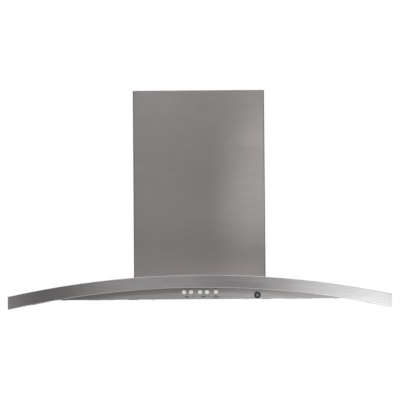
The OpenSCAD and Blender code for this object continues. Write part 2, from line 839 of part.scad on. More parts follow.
module lamp_bulbs() {
    top = housing_z + cup_h - cup_t;
    axis_z = housing_z + lens_t + bulb_r + lens_play;
    color(white) for (place = lamp_places) translate([place[0], place[1], 0]) {
        translate([-bulb_l / 2, 0, axis_z]) rotate([0, 90, 0])
            cylinder(r = bulb_r, h = bulb_l, $fn = round_fn);
        span([-bulb_l / 2 - bulb_base_w / 2, -bulb_base_w / 2, axis_z],
            [bulb_base_w / 2 - bulb_l / 2, bulb_base_w / 2, top]);
    }
}

module transformer() {
    color(dark) translate([-transformer_w / 2, lamp_y - transformer_d / 2, pan_top_z])
        cube([transformer_w, transformer_d, transformer_h]);
}

// The blower's box: four base strips, a lid and four wall panels, spot-welded at their edges
module blower_box() {
    out_x = box_w / 2;
    out_y = box_d / 2;
    open_x = out_x - box_t - box_lip;
    open_y = out_y - box_t - box_lip;
    low = ring_z + box_t + fit_gap;
    high = box_top_z - box_t - fit_gap;
    color(zinc) {
        difference() {
            span([-out_x, -out_y, box_top_z - box_t], [out_x, out_y, box_top_z]);
            translate([0, 0, box_top_z - 2 * box_t])
                cylinder(r = collar_r - collar_t, h = 3 * box_t, $fn = round_fn);
            translate([junction_x, junction_y, box_top_z - 2 * box_t])
                cylinder(r = wire_hole_r, h = 3 * box_t, $fn = round_fn);
        }
        for (s = sides) {
            span([-out_x, s > 0 ? open_y : -out_y, ring_z], [out_x, s > 0 ? out_y : -open_y, ring_z + box_t]);
            span([s > 0 ? open_x : -out_x, fit_gap - open_y, ring_z],
                [s > 0 ? out_x : -open_x, open_y - fit_gap, ring_z + box_t]);
            span([-out_x, s > 0 ? out_y - box_t : -out_y, low], [out_x, s > 0 ? out_y : box_t - out_y, high]);
            span([s > 0 ? out_x - box_t : -out_x, box_t + fit_gap - out_y, low],
                [s > 0 ? out_x : box_t - out_x, out_y - box_t - fit_gap, high]);
        }
    }
}

// The outline of the scroll in Y and Z, with its outlet at the top
module scroll_outline() {
    top = box_top_z - box_t;
    polygon(concat(scroll_points(), [[outlet_y, top], [wheel_back + outlet_ahead, top]]));
}

module scroll() {
    top = box_top_z - box_t;
    color(dark) difference() {
        along_x(scroll_w) scroll_outline();
        along_x(scroll_w - 2 * scroll_t) offset(r = -scroll_t, $fn = round_fn) scroll_outline();
        span([scroll_t - scroll_w / 2, outlet_y + scroll_t, top - 2 * scroll_t],
            [scroll_w / 2 - scroll_t, wheel_back + outlet_ahead - 2 * scroll_t, top + past]);
        translate([-scroll_w, wheel_back, wheel_z]) rotate([0, 90, 0])
            cylinder(r = inlet_r, h = 2 * scroll_w, $fn = round_fn);
    }
}

// Puts a shape built along Z on the wheel's axis along X, moved along by x
module on_wheel_axis(x = 0) {
    translate([x, wheel_back, wheel_z]) rotate([0, 90, 0]) children();
}

module ring(outer, inner, low, high) {
    translate([0, 0, low]) difference() {
        cylinder(r = outer, h = high - low, $fn = round_fn);
        translate([0, 0, -past]) cylinder(r = inner, h = high - low + 2 * past, $fn = round_fn);
    }
}

module blower_wheel() {
    half = wheel_w / 2;
    blade_w = (ring_wall - 2) / cos(blade_lean);
    color(dark) on_wheel_axis() {
        for (low = [-half, half - wheel_sheet]) ring(wheel_r, wheel_r - ring_wall, low, low + wheel_sheet);
        ring(wheel_r, shaft_r + running_gap, -wheel_sheet, 0);
        ring(hub_r, shaft_r + running_gap, wheel_sheet - hub_l, wheel_sheet);
        for (i = [0:blade_count - 1]) rotate([0, 0, 360 * i / blade_count])
            translate([wheel_r - ring_wall / 2, 0, -half]) rotate([0, 0, blade_lean])
                translate([-blade_w / 2, -blade_t / 2, 0]) cube([blade_w, blade_t, wheel_w]);
    }
}

module motor_shaft() {
    color(steel) on_wheel_axis(-hub_l) cylinder(r = shaft_r, h = hub_l + motor_x + shaft_in, $fn = round_fn);
}

module motor() {
    color(zinc) on_wheel_axis(motor_x) difference() {
        cylinder(r = motor_r, h = motor_l, $fn = round_fn);
        translate([0, 0, -past])
            cylinder(r = shaft_r + running_gap, h = shaft_in + 2 * past, $fn = round_fn);
    }
}

module motor_bracket() {
    color(zinc) on_wheel_axis(scroll_w / 2) {
        ring(motor_r + fit_gap + bracket_ring, motor_r + fit_gap, 0, bracket_t);
        for (a = [45:90:315]) rotate([0, 0, a])
            span([motor_r + bracket_ring / 2, -bracket_arm_w / 2, 0],
                [inlet_r + bracket_reach, bracket_arm_w / 2, bracket_t]);
    }
}

module capacitor() {
    color(white) translate([box_w / 2 - box_t - cap_gap - capacitor_r, cap_y, ring_z + cap_rise])
        cylinder(r = capacitor_r, h = capacitor_h, $fn = round_fn);
}

module outlet_collar() {
    inner = collar_r - collar_t;
    color(zinc) difference() {
        translate([0, 0, box_top_z]) rotate_extrude($fn = round_fn) polygon([
            [inner, 0], [collar_r + collar_flange, 0], [collar_r + collar_flange, flange_t],
            [collar_r, flange_t], [collar_r, collar_h], [inner, collar_h]
        ]);
        translate([0, 0, pin_z]) rotate([90, 0, 0])
            cylinder(r = pin_r + running_gap, h = 3 * collar_r, center = true, $fn = round_fn);
    }
}

module damper_pin() {
    color(steel) translate([0, 0, pin_z]) rotate([90, 0, 0])
        cylinder(r = pin_r, h = 2 * (collar_r - collar_t / 4), center = true, $fn = round_fn);
}

// A half disc on alternate knuckles round the damper's pin
module damper_flap(turn) {
    edge = knuckle_r + 0.4;
    radius = collar_r - collar_t - flap_gap;
    color(alloy) translate([0, 0, pin_z]) rotate([0, 0, turn]) difference() {
        union() {
            intersection() {
                translate([0, 0, -flap_t / 2]) cylinder(r = radius, h = flap_t, $fn = round_fn);
                span([edge, -radius, -flap_t], [radius, radius, flap_t]);
            }
            for (i = [0:2:knuckle_count - 1]) {
                low = (i - knuckle_count / 2) * knuckle_l + knuckle_play / 2;
                high = low + knuckle_l - knuckle_play;
                translate([0, high, 0]) rotate([90, 0, 0])
                    cylinder(r = knuckle_r, h = high - low, $fn = round_fn);
                span([0, low, -flap_t / 2], [edge + past, high, flap_t / 2]);
            }
        }
        rotate([90, 0, 0]) cylinder(r = pin_r + running_gap, h = 3 * radius, center = true, $fn = round_fn);
    }
}

module damper_flap_right() { damper_flap(0); }
module damper_flap_left() { damper_flap(180); }

module junction_box() {
    half_w = junction_w / 2;
    half_d = junction_d / 2;
    color(zinc) translate([junction_x, junction_y, box_top_z]) difference() {
        span([-half_w, junction_t - half_d, 0], [half_w, half_d, junction_h]);
        span([junction_t - half_w, -half_d - past, junction_t],
            [half_w - junction_t, half_d - junction_t, junction_h - junction_t]);
        translate([0, 0, -past]) cylinder(r = wire_hole_r, h = junction_t + 2 * past, $fn = round_fn);
        translate([0, -cable_ahead, junction_h - 2 * junction_t])
            cylinder(d = cable_hole_d, h = 3 * junction_t, $fn = round_fn);
    }
}

module junction_cover() {
    color(zinc) translate([junction_x, junction_y, box_top_z])
        span([-junction_w / 2, -junction_d / 2, 0],
            [junction_w / 2, junction_t - junction_d / 2, junction_h]);
}

module filter_frame(sx) {
    half_w = filter_w / 2;
    half_d = filter_d / 2;
    pocket_w = latch_w / 2 + latch_play;
    grip_y = latch_grip_y - half_d;
    low = latch_low - latch_play;
    color(alloy) translate([sx * filter_x, 0, housing_z]) difference() {
        union() {
            span([-half_w, -half_d, 0], [half_w, half_d, filter_t]);
            translate([0, lug_y, filter_t / 2]) rotate([0, 90, 0])
                cylinder(d = lug_d, h = filter_w + 2 * lug_l, center = true, $fn = round_fn);
        }
        span([filter_rim - half_w, filter_rail - half_d, -past],
            [half_w - filter_rim, half_d - filter_rim, filter_t + past]);
        span([-pocket_w, -half_d - past, low],
            [pocket_w, latch_d + latch_travel + latch_play - half_d, latch_low + latch_h + latch_play]);
        span([-grip_w / 2 - latch_play, grip_y - latch_play, -past],
            [grip_w / 2 + latch_play, grip_y + grip_d + latch_travel + latch_play, latch_low]);
    }
}

module filter_frame_left() { filter_frame(-1); }
module filter_frame_right() { filter_frame(1); }

// One folded channel of a filter, lying along Y with its opening upwards
module baffle(flip) {
    half = baffle_w / 2;
    z = flip ? filter_t : 0;
    s = flip ? -1 : 1;
    along_y(baffle_l) polygon([
        [-half, z], [half, z], [half, z + s * baffle_h], [half - baffle_t, z + s * baffle_h],
        [half - baffle_t, z + s * baffle_t], [baffle_t - half, z + s * baffle_t],
        [baffle_t - half, z + s * baffle_h], [-half, z + s * baffle_h]
    ]);
}

module filter_baffles(sx) {
    centre_y = (filter_rail - filter_rim) / 2;
    color(alloy) translate([sx * filter_x, centre_y, housing_z]) {
        for (i = [0:baffle_count - 1])
            translate([(i + 0.5) * baffle_pitch - baffle_span / 2, 0, 0]) baffle(false);
        for (i = [1:baffle_count - 1])
            translate([i * baffle_pitch - baffle_span / 2, 0, 0]) baffle(true);
    }
}

module filter_baffles_left() { filter_baffles(-1); }
module filter_baffles_right() { filter_baffles(1); }

module filter_latch(sx) {
    color(alloy) translate([sx * filter_x, -filter_d / 2, housing_z]) {
        span([-latch_w / 2, -latch_tip, latch_low], [latch_w / 2, latch_d, latch_low + latch_h]);
        span([-grip_w / 2, latch_grip_y, -grip_proud],
            [grip_w / 2, latch_grip_y + grip_d, latch_low + latch_h / 2]);
    }
}

module filter_latch_left() { filter_latch(-1); }
module filter_latch_right() { filter_latch(1); }

ceiling_plate();
upper_legs();
upper_cover_front();
upper_cover_rear();
upper_cover_screws();
lower_cover_front();
lower_cover_rear();
lower_legs();
height_bolts();
base_ring();
rail_left();
rail_right();
canopy_shell();
liner_left();
liner_right();
front_fascia();
rear_fascia();
side_panel_left();
side_panel_right();
bottom_pan();
housing_screws();
badge();
switch_bank();
circuit_board();
control_box();
button(1);  // button_1
button(2);  // button_2
button(3);  // button_3
button(4);  // button_4
button(5);  // button_5
lamp_housing(1);  // lamp_housing_1
lamp_housing(2);  // lamp_housing_2
lamp_housing(3);  // lamp_housing_3
lamp_housing(4);  // lamp_housing_4
lamp_lens(1);  // lamp_lens_1
lamp_lens(2);  // lamp_lens_2
lamp_lens(3);  // lamp_lens_3
lamp_lens(4);  // lamp_lens_4
lamp_bulbs();
transformer();
blower_box();
scroll();
motor();
motor_bracket();
capacitor();
blower_wheel();
motor_shaft();
outlet_collar();
damper_pin();
damper_flap_left();
damper_flap_right();
junction_box();
junction_cover();
filter_frame_left();
filter_frame_right();
filter_baffles_left();
filter_baffles_right();
filter_latch_left();
filter_latch_right();
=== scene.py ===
import json
import math

import bmesh
import bpy
from mathutils import Matrix, Vector


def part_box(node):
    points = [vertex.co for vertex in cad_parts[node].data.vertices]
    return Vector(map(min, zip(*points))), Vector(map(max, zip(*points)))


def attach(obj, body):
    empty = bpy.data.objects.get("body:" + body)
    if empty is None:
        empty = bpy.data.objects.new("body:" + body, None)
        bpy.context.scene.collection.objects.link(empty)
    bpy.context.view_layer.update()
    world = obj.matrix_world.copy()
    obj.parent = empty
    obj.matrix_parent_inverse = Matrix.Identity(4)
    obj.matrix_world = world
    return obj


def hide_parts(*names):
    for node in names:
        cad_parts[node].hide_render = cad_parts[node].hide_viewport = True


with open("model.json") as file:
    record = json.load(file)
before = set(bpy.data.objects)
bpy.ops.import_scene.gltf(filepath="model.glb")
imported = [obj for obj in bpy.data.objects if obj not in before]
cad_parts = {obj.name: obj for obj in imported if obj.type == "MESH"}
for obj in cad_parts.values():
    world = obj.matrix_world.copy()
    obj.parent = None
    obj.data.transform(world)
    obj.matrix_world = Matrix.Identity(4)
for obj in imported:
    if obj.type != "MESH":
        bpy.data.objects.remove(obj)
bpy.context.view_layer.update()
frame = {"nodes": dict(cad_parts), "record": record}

nodes = frame["nodes"]
MM = 0.001

# Camera

# It stands straight in front of the canopy's crown, aimed above it, with the photo's slight roll
CANOPY_LOW, CANOPY_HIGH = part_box("canopy_shell")
CROWN_Z = CANOPY_HIGH.z
BAND_Y = CANOPY_LOW.y
CAMERA_AWAY = 5.0
AIM_RISE = 0.1753
AIM_RIGHT = math.radians(0.0215)
ROLL = math.radians(0.45)
camera_data = bpy.data.cameras.new("camera")
camera_data.sensor_width = 36
camera_data.lens = 192
camera = bpy.data.objects.new("camera", camera_data)
bpy.context.scene.collection.objects.link(camera)
camera.location = (0, BAND_Y - CAMERA_AWAY, CROWN_Z)
pitch = math.pi / 2 + math.atan2(AIM_RISE, CAMERA_AWAY)
camera.rotation_euler = (
    Matrix.Rotation(-AIM_RIGHT, 4, "Z") @ Matrix.Rotation(pitch, 4, "X") @ Matrix.Rotation(-ROLL, 4, "Z")
).to_euler()
bpy.context.scene.camera = camera
bpy.context.scene.view_settings.view_transform = "Standard"

# Node helpers

# The part of a noise node's range that most of its values lie in
NOISE_LOW, NOISE_HIGH = 0.3, 0.7


class Tree:
    """Short ways to add and join shader nodes in one node tree."""

    def __init__(self, tree):
        self.tree = tree

    def add(self, kind, **values):
        node = self.tree.nodes.new(kind)
        for key, value in values.items():
            setattr(node, key, value)
        return node

    def join(self, source, target):
        self.tree.links.new(source, target)

    def feed(self, socket, value):
        """Joins a socket to another one, or gives it a plain value."""
        if isinstance(value, bpy.types.NodeSocket):
            self.join(value, socket)
        elif value is not None:
            socket.default_value = value

    def math(self, operation, a, b=None, c=None):
        node = self.add("ShaderNodeMath", operation=operation)
        for socket, value in zip(node.inputs, (a, b, c)):
            self.feed(socket, value)
        return node.outputs[0]

    def vector(self, operation, a, b=None):
        node = self.add("ShaderNodeVectorMath", operation=operation)
        for socket, value in zip(node.inputs, (a, b)):
            self.feed(socket, value)
        return node.outputs[0]

    def length(self, value):
        node = self.add("ShaderNodeVectorMath", operation="LENGTH")
        self.join(value, node.inputs[0])
        return node.outputs["Value"]

    def parts(self, value):
        """The X, Y and Z of a vector."""
        node = self.add("ShaderNodeSeparateXYZ")
        self.join(value, node.inputs[0])
        return node.outputs

    def span(self, value, low, high, to_low=0.0, to_high=1.0):
        node = self.add("ShaderNodeMapRange")
        for socket, part in zip(node.inputs, (value, low, high, to_low, to_high)):
            self.feed(socket, part)
        return node.outputs[0]

    def widen(self, noise, to_low=-1.0, to_high=1.0):
        """Noise whose usual range is stretched to the one that is given."""
        return self.span(noise, NOISE_LOW, NOISE_HIGH, to_low, to_high)

    def noise(self, place, scale, detail=2.0, rough=0.5):
        node = self.add("ShaderNodeTexNoise")
        self.feed(node.inputs["Vector"], place)
        self.feed(node.inputs["Scale"], scale)
        self.feed(node.inputs["Detail"], detail)
        self.feed(node.inputs["Roughness"], rough)
        return node.outputs["Fac"]

    def mix_vector(self, factor, a, b):
        """The Mix node's sockets are told apart by number: vectors are 4 and 5, and come out at 1."""
        node = self.add("ShaderNodeMix", data_type="VECTOR")
        for number, value in ((0, factor), (4, a), (5, b)):
            self.feed(node.inputs[number], value)
        return node.outputs[1]

    def mix_colour(self, factor, a, b):
        """The Mix node's colours are its sockets 6 and 7, and come out at 2."""
        node = self.add("ShaderNodeMix", data_type="RGBA")
        for number, value in ((0, factor), (6, a), (7, b)):
            self.feed(node.inputs[number], value)
        return node.outputs[2]


def start_group(name, inputs, outputs):
    """A node group with float sockets: inputs have a name and a first value, outputs a name."""
    group = bpy.data.node_groups.new(name, "ShaderNodeTree")
    for label, value in inputs:
        socket = group.interface.new_socket(label, in_out="INPUT", socket_type="NodeSocketFloat")
        socket.default_value = value
    for label in outputs:
        group.interface.new_socket(label, in_out="OUTPUT", socket_type="NodeSocketFloat")
    tree = Tree(group)
    return group, tree, tree.add("NodeGroupInput"), tree.add("NodeGroupOutput")


def on_flank(t, coordinates):
    """1 on faces that look to the left or right, 0 on the others."""
    sideways = t.parts(coordinates.outputs["Normal"])[0]
    return t.math("GREATER_THAN", t.math("ABSOLUTE", sideways), 0.7)


def make_grain_group():
    """Brushed grain that runs along X, or along Y on the side faces."""
    group, t, given, out = start_group(
        "brushed_grain",
        [("Length", 22.0), ("Fine", 3600.0), ("Medium", 1300.0), ("Broad", 340.0)],
        ["Streak", "Band", "Cloud"],
    )
    coordinates = t.add("ShaderNodeTexCoord")
    place = coordinates.outputs["Object"]
    flank = on_flank(t, coordinates)

    def stretched(across, along):
        """The place, scaled so that a pattern is fine across the grain and long along it."""
        scales = []
        for values in ((along, across, across), (across, along, across)):
            scale = t.add("ShaderNodeCombineXYZ")
            for socket, value in zip(scale.inputs, values):
                t.feed(socket, value)
            scales.append(scale.outputs[0])
        return t.vector("MULTIPLY", place, t.mix_vector(flank, *scales))

    length = given.outputs["Length"]
    fine = t.noise(stretched(given.outputs["Fine"], length), 1.0)
    medium = t.noise(stretched(given.outputs["Medium"], t.math("MULTIPLY", length, 0.5)), 1.0)
    broad = t.noise(stretched(given.outputs["Broad"], length), 1.0, 1.0)
    streak = t.math("MULTIPLY_ADD", fine, 0.5, t.math("MULTIPLY", medium, 0.5))
    t.join(streak, out.inputs["Streak"])
    t.join(broad, out.inputs["Band"])
    t.join(t.noise(place, 5.0, 3.0, 0.6), out.inputs["Cloud"])
    return group


def make_spangle_group():
    """Flat crystals of hot zinc, each a little lighter or darker."""
    group, t, given, out = start_group("zinc_spangle", [("Size", 150.0)], ["Crystal", "Edge", "Cloud"])
    place = t.add("ShaderNodeTexCoord").outputs["Object"]
    wobble = t.add("ShaderNodeTexNoise")
    t.feed(wobble.inputs["Vector"], place)
    t.feed(wobble.inputs["Scale"], 90.0)
    bent = t.add("ShaderNodeVectorMath", operation="MULTIPLY_ADD")
    for socket, value in zip(bent.inputs, (wobble.outputs["Color"], (0.004, 0.004, 0.004), place)):
        t.feed(socket, value)
    cells = t.add("ShaderNodeTexVoronoi")
    t.join(bent.outputs[0], cells.inputs["Vector"])
    t.feed(cells.inputs["Scale"], given.outputs["Size"])
    tone = t.add("ShaderNodeSeparateColor")
    t.join(cells.outputs["Color"], tone.inputs[0])
    t.join(tone.outputs[0], out.inputs["Crystal"])
    t.join(cells.outputs["Distance"], out.inputs["Edge"])
    t.join(t.noise(place, 9.0, 3.0, 0.6), out.inputs["Cloud"])
    return group


def make_mould_group():
    """The fine pebbled skin of a moulded plastic piece."""
    group, t, given, out = start_group("moulded_skin", [("Size", 1400.0)], ["Pebble", "Cloud"])
    place = t.add("ShaderNodeTexCoord").outputs["Object"]
    t.join(t.noise(place, given.outputs["Size"]), out.inputs["Pebble"])
    t.join(t.noise(place, 22.0, 3.0, 0.6), out.inputs["Cloud"])
    return group


def make_dust_group():
    """Where dust and grease film settle: on faces that look up, in patches."""
    group, t, given, out = start_group("settled_dust", [("Amount", 0.3)], ["Dust"])
    coordinates = t.add("ShaderNodeTexCoord")
    up = t.span(t.parts(coordinates.outputs["Normal"])[2], 0.2, 1.0)
    patch = t.span(t.noise(coordinates.outputs["Object"], 14.0, 4.0, 0.65), 0.35, 0.75)
    t.join(t.math("MULTIPLY", t.math("MULTIPLY", up, patch), given.outputs["Amount"]), out.inputs["Dust"])
    return group


grain_group = make_grain_group()
spangle_group = make_spangle_group()
mould_group = make_mould_group()
dust_group = make_dust_group()

# Materials

DUST_ON_ZINC = (0.42, 0.41, 0.39, 1)
DUST_ON_PLASTIC = (0.4, 0.38, 0.35, 1)
BOARD_TRACK = (0.06, 0.24, 0.12, 1)
BOARD_MASK = (0.02, 0.12, 0.055, 1)
BADGE_FACE = (0.34, 0.34, 0.35)
BADGE_RING = (0.08, 0.08, 0.085, 1)
LATHE_GROOVES = 9000.0


def start_material(name, **sockets):
    """A material with its Principled BSDF, and the values that are the same all over."""
    material = bpy.data.materials.new(name)
    material.use_nodes = True
    shader = material.node_tree.nodes["Principled BSDF"]
    for label, value in sockets.items():
        shader.inputs[label.replace("_", " ")].default_value = value
    return material, Tree(material.node_tree), shader


def group_node(t, group, **values):
    node = t.add("ShaderNodeGroup", node_tree=group)
    for label, value in values.items():
        node.inputs[label].default_value = value
    return node.outputs


def shade_value(t, colour, shift):
    """The colour made lighter or darker by a factor that changes over the surface."""
    scale = t.add("ShaderNodeVectorMath", operation="SCALE")
    t.feed(scale.inputs[0], colour)
    t.feed(scale.inputs["Scale"], shift)
    return scale.outputs[0]


def add_relief(t, shader, height, strength, depth):
    """Small hills and valleys in the surface, up to a depth in millimetres."""
    bump = t.add("ShaderNodeBump")
    bump.inputs["Strength"].default_value = strength
    bump.inputs["Distance"].default_value = depth * MM
    t.join(height, bump.inputs["Height"])
    t.join(bump.outputs[0], shader.inputs["Normal"])


def across_grain(t, shader):
    """Turns the shader's tangent across the grain, in the plane of each face."""
    coordinates = t.add("ShaderNodeTexCoord")
    along = t.mix_vector(on_flank(t, coordinates), (1.0, 0.0, 0.0), (0.0, 1.0, 0.0))
    tangent = t.vector("CROSS_PRODUCT", coordinates.outputs["Normal"], along)
    turn = t.add(
        "ShaderNodeVectorTransform", vector_type="VECTOR", convert_from="OBJECT", convert_to="WORLD"
    )
    t.join(tangent, turn.inputs[0])
    t.join(turn.outputs[0], shader.inputs["Tangent"])


def brushed_steel(name, colour, rough, spread, contrast, bump):
    """Sheet with a brushed grain: spread is how far its gloss is drawn out across the grain."""
    material, t, shader = start_material(name, Metallic=1.0, Anisotropic=spread)
    grain = group_node(t, grain_group)
    streak, band, cloud = (t.widen(grain[label]) for label in ("Streak", "Band", "Cloud"))
    shift = t.math("MULTIPLY_ADD", streak, contrast, 1.0)
    shift = t.math("MULTIPLY_ADD", band, contrast, shift)
    shift = t.math("MULTIPLY_ADD", cloud, contrast * 0.35, shift)
    t.join(shade_value(t, colour, shift), shader.inputs["Base Color"])
    roughness = t.math("MULTIPLY_ADD", streak, 0.01, rough)
    roughness = t.math("MULTIPLY_ADD", cloud, 0.01, roughness)
    t.join(roughness, shader.inputs["Roughness"])
    add_relief(t, shader, grain["Streak"], bump, 0.05)
    across_grain(t, shader)
    return material


def zinc_steel(name, colour):
    """Sheet with hot-dip zinc crystals and a little dust."""
    material, t, shader = start_material(name, Metallic=1.0)
    zinc = group_node(t, spangle_group)
    dust = group_node(t, dust_group, Amount=0.35)
    shift = t.span(zinc["Crystal"], 0.0, 1.0, 0.82, 1.14)
    shift = t.math("MULTIPLY_ADD", t.widen(zinc["Cloud"]), 0.06, shift)
    clean = shade_value(t, colour, shift)
    t.join(t.mix_colour(dust[0], clean, DUST_ON_ZINC), shader.inputs["Base Color"])
    t.join(t.span(zinc["Crystal"], 0.0, 1.0, 0.34, 0.52), shader.inputs["Roughness"])
    add_relief(t, shader, zinc["Edge"], 0.15, 0.2)
    return material


def moulded(name, colour, rough, coat=0.0, size=1400.0, bump=0.12, dusty=0.2):
    """A plastic, painted or ceramic skin with fine pebbles, and as much dust as dusty says."""
    material, t, shader = start_material(name, Coat_Weight=coat, Coat_Roughness=0.12)
    skin = group_node(t, mould_group, Size=size)
    dust = group_node(t, dust_group, Amount=dusty)
    plain = shade_value(t, colour, t.math("MULTIPLY_ADD", t.widen(skin["Cloud"]), 0.06, 1.0))
    t.join(t.mix_colour(dust[0], plain, DUST_ON_PLASTIC), shader.inputs["Base Color"])
    t.join(t.widen(skin["Cloud"], rough - 0.05, rough + 0.05), shader.inputs["Roughness"])
    add_relief(t, shader, skin["Pebble"], bump, 0.1)
    return material


def bright_metal(name, colour, rough):
    """Plated or turned metal, with light handling marks."""
    material, t, shader = start_material(name, Metallic=1.0)
    skin = group_node(t, mould_group, Size=500.0)
    shift = t.math("MULTIPLY_ADD", t.widen(skin["Cloud"]), 0.07, 1.0)
    t.join(shade_value(t, colour, shift), shader.inputs["Base Color"])
    t.join(t.widen(skin["Pebble"], rough * 0.8, rough * 1.2), shader.inputs["Roughness"])
    return material


def turned_badge(name, centre, ring_from, ring_to):
    """A dark ring round a grey face that was turned on a lathe."""
    material, t, shader = start_material(name, Metallic=1.0)
    place = t.add("ShaderNodeTexCoord").outputs["Object"]
    reach = t.length(t.vector("SUBTRACT", place, centre))
    ring = t.span(reach, ring_from * MM, ring_to * MM)
    groove = t.math("SINE", t.math("MULTIPLY", reach, LATHE_GROOVES))
    face = shade_value(t, BADGE_FACE, t.math("MULTIPLY_ADD", groove, 0.08, 1.0))
    t.join(t.mix_colour(ring, face, BADGE_RING), shader.inputs["Base Color"])
    t.join(t.math("MULTIPLY_ADD", groove, 0.05, 0.38), shader.inputs["Roughness"])
    add_relief(t, shader, groove, 0.1, 0.05)
    return material


def frosted_glass(name):
    """Etched glass that lets most of the light through."""
    material, t, shader = start_material(name, Transmission_Weight=0.75, IOR=1.5)
    skin = group_node(t, mould_group, Size=900.0)
    tone = shade_value(t, (0.92, 0.94, 0.93), t.widen(skin["Cloud"], 0.97, 1.0))
    t.join(tone, shader.inputs["Base Color"])
    t.join(t.widen(skin["Pebble"], 0.32, 0.5), shader.inputs["Roughness"])
    add_relief(t, shader, skin["Pebble"], 0.2, 0.1)
    return material


def circuit_board(name):
    """Solder mask over tracks that run along X and Z."""
    material, t, shader = start_material(name, Coat_Weight=0.3)
    cells = t.add("ShaderNodeTexVoronoi", distance="MANHATTAN", feature="DISTANCE_TO_EDGE")
    t.join(t.add("ShaderNodeTexCoord").outputs["Object"], cells.inputs["Vector"])
    t.feed(cells.inputs["Scale"], 260.0)
    mask = t.span(cells.outputs["Distance"], 0.05, 0.09)
    t.join(t.mix_colour(mask, BOARD_TRACK, BOARD_MASK), shader.inputs["Base Color"])
    t.join(t.span(mask, 0.0, 1.0, 0.3, 0.42), shader.inputs["Roughness"])
    return material


badge_low, badge_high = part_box("badge")
badge_at = ((badge_low.x + badge_high.x) / 2, badge_low.y, (badge_low.z + badge_high.z) / 2)
# What makes each slot's material, and the values that it is given
FINISHES = {
    "chimney_steel": (brushed_steel, (0.526, 0.493, 0.485), 0.30, 0.75, 0.036, 0.1),
    "canopy_steel": (brushed_steel, (0.70, 0.68, 0.674), 0.29, 0.75, 0.045, 0.08),
    "housing_steel": (brushed_steel, (0.557, 0.542, 0.538), 0.5, 0.9, 0.035, 0.08),
    "zinc_steel": (zinc_steel, (0.52, 0.54, 0.56)),
    "screw_steel": (bright_metal, (0.62, 0.62, 0.62), 0.25),
    "motor_metal": (moulded, (0.10, 0.105, 0.115), 0.42, 0.3, 500.0, 0.3),
    "black_plastic": (moulded, (0.028, 0.029, 0.031), 0.5),
    "circuit_green": (circuit_board,),
    "button_white": (moulded, (0.80, 0.80, 0.78), 0.32, 0.25, 1400.0, 0.05, 0.0),
    "badge_metal": (turned_badge, badge_at, 3.2, 4.0),
    "lamp_chrome": (bright_metal, (0.72, 0.72, 0.72), 0.12),
    "lamp_glass": (frosted_glass,),
    "bulb_glass": (moulded, (0.86, 0.85, 0.81), 0.3, 0.4, 700.0, 0.05, 0.0),
    "capacitor_plastic": (moulded, (0.72, 0.72, 0.69), 0.35, 0.2),
    "filter_alloy": (brushed_steel, (0.66, 0.66, 0.66), 0.36, 0.4, 0.04, 0.15),
    "latch_metal": (moulded, (0.04, 0.04, 0.043), 0.45),
    "flap_alloy": (brushed_steel, (0.60, 0.60, 0.61), 0.36, 0.4, 0.04, 0.15),
}
materials = {name: make(name, *values) for name, (make, *values) in FINISHES.items()}

record = frame["record"]
slot_of = {part["node"]: part["material_slot"] for part in record["subparts"]}
body_of = {name: body for body, names in record["behaviour"]["bodies"].items() for name in names}
for name, obj in nodes.items():
    obj.data.materials.clear()
    obj.data.materials.append(materials[slot_of[name]])

# Mesh helpers

SHARP_TURN = math.radians(40)
FLAT_TURN = math.radians(0.05)
SAME_PLACE = 0.0005 * MM
SAME_CAD_PLACE = 0.002 * MM


def add_piece(name, shape, slot, body, replaced=(), crisp=35):
    """Finishes a bmesh as one object of the part, with edges sharp past the crisp angle."""
    mesh = bpy.data.meshes.new(name)
    shape.to_mesh(mesh)
    shape.free()
    for face in mesh.polygons:
        face.use_smooth = True
    mesh.set_sharp_from_angle(angle=math.radians(crisp))
    obj = bpy.data.objects.new(name, mesh)
    bpy.context.scene.collection.objects.link(obj)
    mesh.materials.append(materials[slot])
    weigh = obj.modifiers.new("even_normals", "WEIGHTED_NORMAL")
    weigh.keep_sharp = True
    if replaced:
        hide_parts(*replaced)
    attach(obj, body)
    return obj


def merged_copy(node):
    """A node's mesh as a bmesh, its loose triangles joined and its flat faces made whole."""
    bm = bmesh.new()
    bm.from_mesh(nodes[node].data)
    bmesh.ops.remove_doubles(bm, verts=bm.verts, dist=SAME_CAD_PLACE)
    bmesh.ops.dissolve_limit(
        bm, angle_limit=FLAT_TURN, verts=bm.verts, edges=bm.edges, delimit={"NORMAL"}
    )
    return bm


def ease_edges(bm, width, segments=2, pick=None):
    """Rounds the sharp edges, or those of them that pick says."""
    edges = [
        e for e in bm.edges
        if len(e.link_faces) == 2 and e.calc_face_angle(0) > SHARP_TURN and (pick is None or pick(e))
    ]
    if edges:
        bmesh.ops.bevel(
            bm, geom=edges, offset=width * MM, offset_type="OFFSET", segments=segments, profile=0.5,
            affect="EDGES", clamp_overlap=True, material=-1,
        )


def eased(node, width):
    """A CAD node with its edges rounded as a folded or moulded piece has them."""
    bm = merged_copy(node)
    ease_edges(bm, width)
    return add_piece(node + "_eased", bm, slot_of[node], body_of[node], (node,))


def join(target, shape):
    """Adds one bmesh to another and frees it."""
    mesh = bpy.data.meshes.new("joined")
    shape.to_mesh(mesh)
    shape.free()
    target.from_mesh(mesh)
    bpy.data.meshes.remove(mesh)
    return target


def gather(shapes):
    """Makes one bmesh of several."""
    whole = bmesh.new()
    for shape in shapes:
        join(whole, shape)
    return whole


def placed(bm, where, turn=None):
    """Turns a bmesh and moves it to its place."""
    matrix = Matrix.Translation(Vector(where))
    if turn is not None:
        matrix = matrix @ turn
    bmesh.ops.transform(bm, matrix=matrix, verts=bm.verts)
    return bm


TO_FRONT = Matrix.Rotation(math.pi / 2, 4, "X")
TO_RIGHT = Matrix.Rotation(math.pi / 2, 4, "Y")
TO_LEFT = Matrix.Rotation(-math.pi / 2, 4, "Y")


